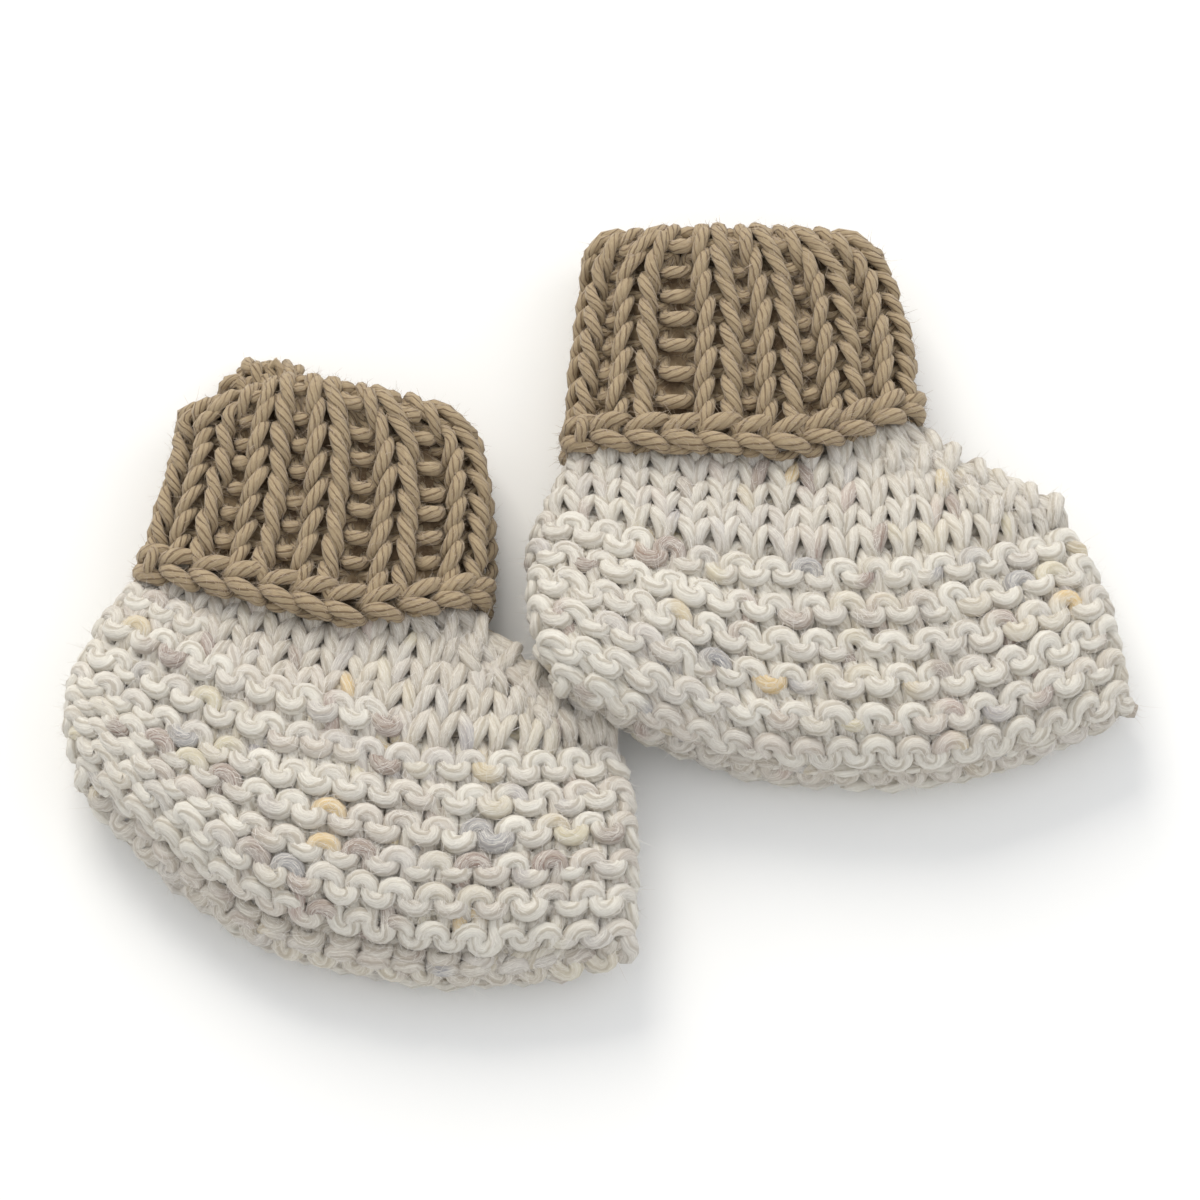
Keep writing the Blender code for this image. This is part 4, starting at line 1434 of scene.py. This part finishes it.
# %% Stray fibres
FIBRE_HALF = 0.032  # half of its width, in millimetres
FIBRE_STATIONS = np.array([0.0, 0.5, 1.0])  # of the way along it
FIBRE_WIDTHS = np.array([1.0, 0.8, 0.25])  # there, as shares
RIBBON = np.array([(0, 1, 3, 2), (2, 3, 5, 4)])  # corners of its two faces
LOWEST_ROOT, LOWEST_TURN = 3.0, -0.35  # no fibre below this height, or where the cloth faces down
FIBRE_FLOOR = 0.1
LENGTH_SHARES = (0.4, 1.6)
CELL_MARGIN, CELL_FILL = 0.15, 0.7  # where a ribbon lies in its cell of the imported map


def fuzz_piece(name, strands, count, reach, material, dice):
    """Fibres at random places on the strands; reach is their mean length in millimetres."""
    line = np.concatenate([strand.line for strand in strands])
    tangent = unit(np.concatenate([np.gradient(strand.line, axis=0) for strand in strands]))
    outward = np.concatenate([strand.outward for strand in strands])
    radius = np.concatenate([strand.radius for strand in strands])
    seen = np.flatnonzero((outward[:, 2] > LOWEST_TURN) & (line[:, 2] > LOWEST_ROOT))
    pick = seen[dice.integers(0, len(seen), count)]
    tangent, radius, line = tangent[pick], radius[pick][:, None], line[pick]
    up = unit(outward[pick] - tangent * (outward[pick] * tangent).sum(1, keepdims=True))
    across = np.cross(tangent, up)
    angle = dice.normal(0.0, 0.9, (count, 1))
    spoke = up * np.cos(angle) + across * np.sin(angle)
    root = line + spoke * radius * 0.9
    low_angle = dice.uniform(0.0, 0.75, (count, 1)) ** 1.5
    heading = tangent * dice.choice((-1.0, 1.0), (count, 1)) + spoke * low_angle
    heading = unit(heading + across * dice.normal(0, 0.4, (count, 1)))
    bend = dice.normal(0.0, 0.45, (count, 3))
    length = reach * dice.uniform(*LENGTH_SHARES, (count, 1))
    far = FIBRE_STATIONS[None, :, None]
    points = root[:, None] + length[:, None] * (heading[:, None] * far + bend[:, None] * far**2)
    half = unit(np.cross(heading, up))[:, None] * (FIBRE_HALF * FIBRE_WIDTHS)[None, :, None]
    corners = np.stack([points - half, points + half], axis=2)
    corners[..., 2] = np.maximum(corners[..., 2], FIBRE_FLOOR)
    faces = (RIBBON[None] + 6 * np.arange(count)[:, None, None]).reshape(-1, 4)
    mesh = bpy.data.meshes.new(name)
    mesh.from_pydata((corners.reshape(-1, 3) * MM).tolist(), [], faces.tolist())
    cells = int(np.ceil(np.sqrt(count)))
    cell = np.stack([np.arange(count) % cells, np.arange(count) // cells], axis=1)[:, None, None, :]
    inner = np.stack(np.meshgrid(FIBRE_STATIONS, [0.0, 1.0], indexing="ij"), axis=-1)[None]
    packed = ((cell + inner * CELL_FILL + CELL_MARGIN) / cells).reshape(-1, 2)
    places = packed[faces.ravel()].astype(np.float32)
    mesh.uv_layers.new(name="OFBake").uv.foreach_set("vector", places.ravel())
    print(f"{name}: {len(faces) * 2} triangles")
    return add_piece(name, mesh, material)


def fibre_material(name, light, shade):
    """Single fibres: paler where the fibre is bleached, darker where it kept the fleece's colour."""
    material = new_material(name)
    tree = material.node_tree
    place = add_node(tree, "ShaderNodeTexCoord")
    noise = add_node(tree, "ShaderNodeTexNoise", {"Vector": place.outputs["Object"]}, {"Scale": 400.0})
    colour = add_node(
        tree,
        "ShaderNodeMix",
        {0: noise.outputs["Fac"]},
        {6: linear(shade), 7: linear(light)},
        data_type="RGBA",
    )
    shader = add_node(
        tree, "ShaderNodeBsdfPrincipled", {"Base Color": colour.outputs[2]}, {"Roughness": 0.8}
    )
    add_node(tree, "ShaderNodeOutputMaterial", {"Surface": shader.outputs[0]})
    return material


cream_fibre = fibre_material("stray_fibre_cream", "#F6F4F0", "#C9BFB4")
tan_fibre = fibre_material("stray_fibre_tan", "#CDBDA8", "#8C7868")
print("a fibre is drawn this wide, mm:", 2 * FIBRE_HALF)

# %% [markdown]
# ## Dressing both booties
#
# Each bootie gets its rows of yarn, its flecks, its stray fibres and its three walls, and its solids
# are hidden. The instep narrows towards the ankle. The cuff's own cut is about twice as tall as what
# shows, because it goes up inside the ankle and is turned down over itself.

# %% Dress both booties
SEEDS = {"left": 11, "right": 12}
FOOT_FIBRES, CUFF_FIBRES = 31000, 18000
FOOT_FIBRE, CUFF_FIBRE = 1.5, 1.15  # millimetres: wool stands out further than cotton

for bootie in (LEFT, RIGHT):
    side = bootie.side
    dice = np.random.default_rng(SEEDS[side])
    ground, cuff = body_ground(bootie), cuff_ground(bootie)
    foot_yarn = foot_strands(ground, dice) + [seam_strand(bootie, ground, dice)]
    if bootie is LEFT:
        foot_yarn += lip_strands(ground, dice) + short_row_strands(ground, dice)
    else:
        foot_yarn.append(tail_strand())
    instep_yarn = instep_strands(bootie, ground, dice) + gathered_strands(bootie, ground, dice)
    place_flecks(foot_yarn + instep_yarn, PLACED_FLECKS[side])
    cuff_yarn = cuff_strands(bootie, cuff, dice)
    chain_yarn = [chain_strand(bootie, cuff, dice), knot_strand(cuff)]
    foot_rows = yarn_piece(f"{side}_foot_rows", foot_yarn, cream_yarn)
    instep_rows = yarn_piece(f"{side}_instep_rows", instep_yarn, cream_yarn)
    cuff_rows = yarn_piece(f"{side}_cuff_rows", cuff_yarn, tan_yarn)
    chain = yarn_piece(f"{side}_chain", chain_yarn, tan_yarn)
    cream, tan = foot_yarn + instep_yarn, cuff_yarn + chain_yarn
    foot_fuzz = fuzz_piece(f"{side}_foot_fuzz", cream, FOOT_FIBRES, FOOT_FIBRE, cream_fibre, dice)
    cuff_fuzz = fuzz_piece(f"{side}_cuff_fuzz", tan, CUFF_FIBRES, CUFF_FIBRE, tan_fibre, dice)
    foot = foot_lining(bootie, cream_shade)
    instep = instep_lining(bootie, cream_shade)
    cuff_back = cuff_lining(bootie, tan_shade)
    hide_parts(f"{side}_foot")
    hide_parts(f"{side}_instep")
    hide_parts(f"{side}_cuff")
    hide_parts(f"{side}_cuff_edge")

# %% [markdown]
# ## The table, the camera and the light
#
# The booties lie on white paper. The camera looks down steeply, 20 degrees off straight down, from
# 0.66 m with a long lens, so both lie nearly flat in the picture. Daylight from a wide sky is soft
# and comes from behind them: one large lamp stands there and makes the short soft shadows in
# front, and a weaker, bluer one opens the shadows on the right. The world gives the rest.

# %% Camera, lights and floor
PAPER_WHITE, PAPER_ROUGHNESS = "#F4F4F2", 0.9  # matt, so it shows no reflection of the wool
FLOOR_HALF = 3.0
LENS, SENSOR = 115.7, 36.0  # both in millimetres
CAMERA_AT = (0.00032, -0.22238, 0.61904)
CAMERA_TILT = 20.0  # degrees
Lamp = namedtuple("Lamp", "name place size power colour")
LAMPS = (
    Lamp("key", (-0.3, 0.85, 0.72), 0.6, 8.5, "#FFFAF2"),
    Lamp("fill", (0.9, 0.1, 0.8), 0.9, 2.0, "#F2F6FF"),
)
SKY, SKY_STRENGTH = "#F7F8FA", 0.85

floor_mesh = bpy.data.meshes.new("floor")
floor_corners = [(x * FLOOR_HALF, y * FLOOR_HALF, 0.0) for x, y in ((-1, -1), (1, -1), (1, 1), (-1, 1))]
floor_mesh.from_pydata(floor_corners, [], [(0, 1, 2, 3)])
floor = bpy.data.objects.new("floor", floor_mesh)
bpy.context.scene.collection.objects.link(floor)
paper = new_material("white_paper")
paper_look = {"Base Color": linear(PAPER_WHITE), "Roughness": PAPER_ROUGHNESS}
paper_shader = add_node(paper.node_tree, "ShaderNodeBsdfPrincipled", sockets=paper_look)
add_node(paper.node_tree, "ShaderNodeOutputMaterial", {"Surface": paper_shader.outputs[0]})
floor_mesh.materials.append(paper)

camera_data = bpy.data.cameras.new("camera")
camera_data.lens = LENS
camera_data.sensor_width = SENSOR
camera = bpy.data.objects.new("camera", camera_data)
camera.location = CAMERA_AT
camera.rotation_euler = (np.radians(CAMERA_TILT), 0.0, 0.0)
bpy.context.scene.collection.objects.link(camera)
bpy.context.scene.camera = camera

for lamp in LAMPS:
    light = bpy.data.lights.new(lamp.name, "AREA")
    light.size = lamp.size
    light.energy = lamp.power
    light.color = linear(lamp.colour)[:3]
    stood = bpy.data.objects.new(lamp.name, light)
    stood.location = lamp.place
    bpy.context.scene.collection.objects.link(stood)
    stood.rotation_euler = stood.location.normalized().to_track_quat("Z", "Y").to_euler()

world = bpy.data.worlds.new("studio")
world.use_nodes = True
background = world.node_tree.nodes["Background"].inputs
background["Color"].default_value = linear(SKY)
background["Strength"].default_value = SKY_STRENGTH
bpy.context.scene.world = world
bpy.context.scene.view_settings.view_transform = "Standard"
print("camera from the booties, m:", round(camera.location.length, 2))
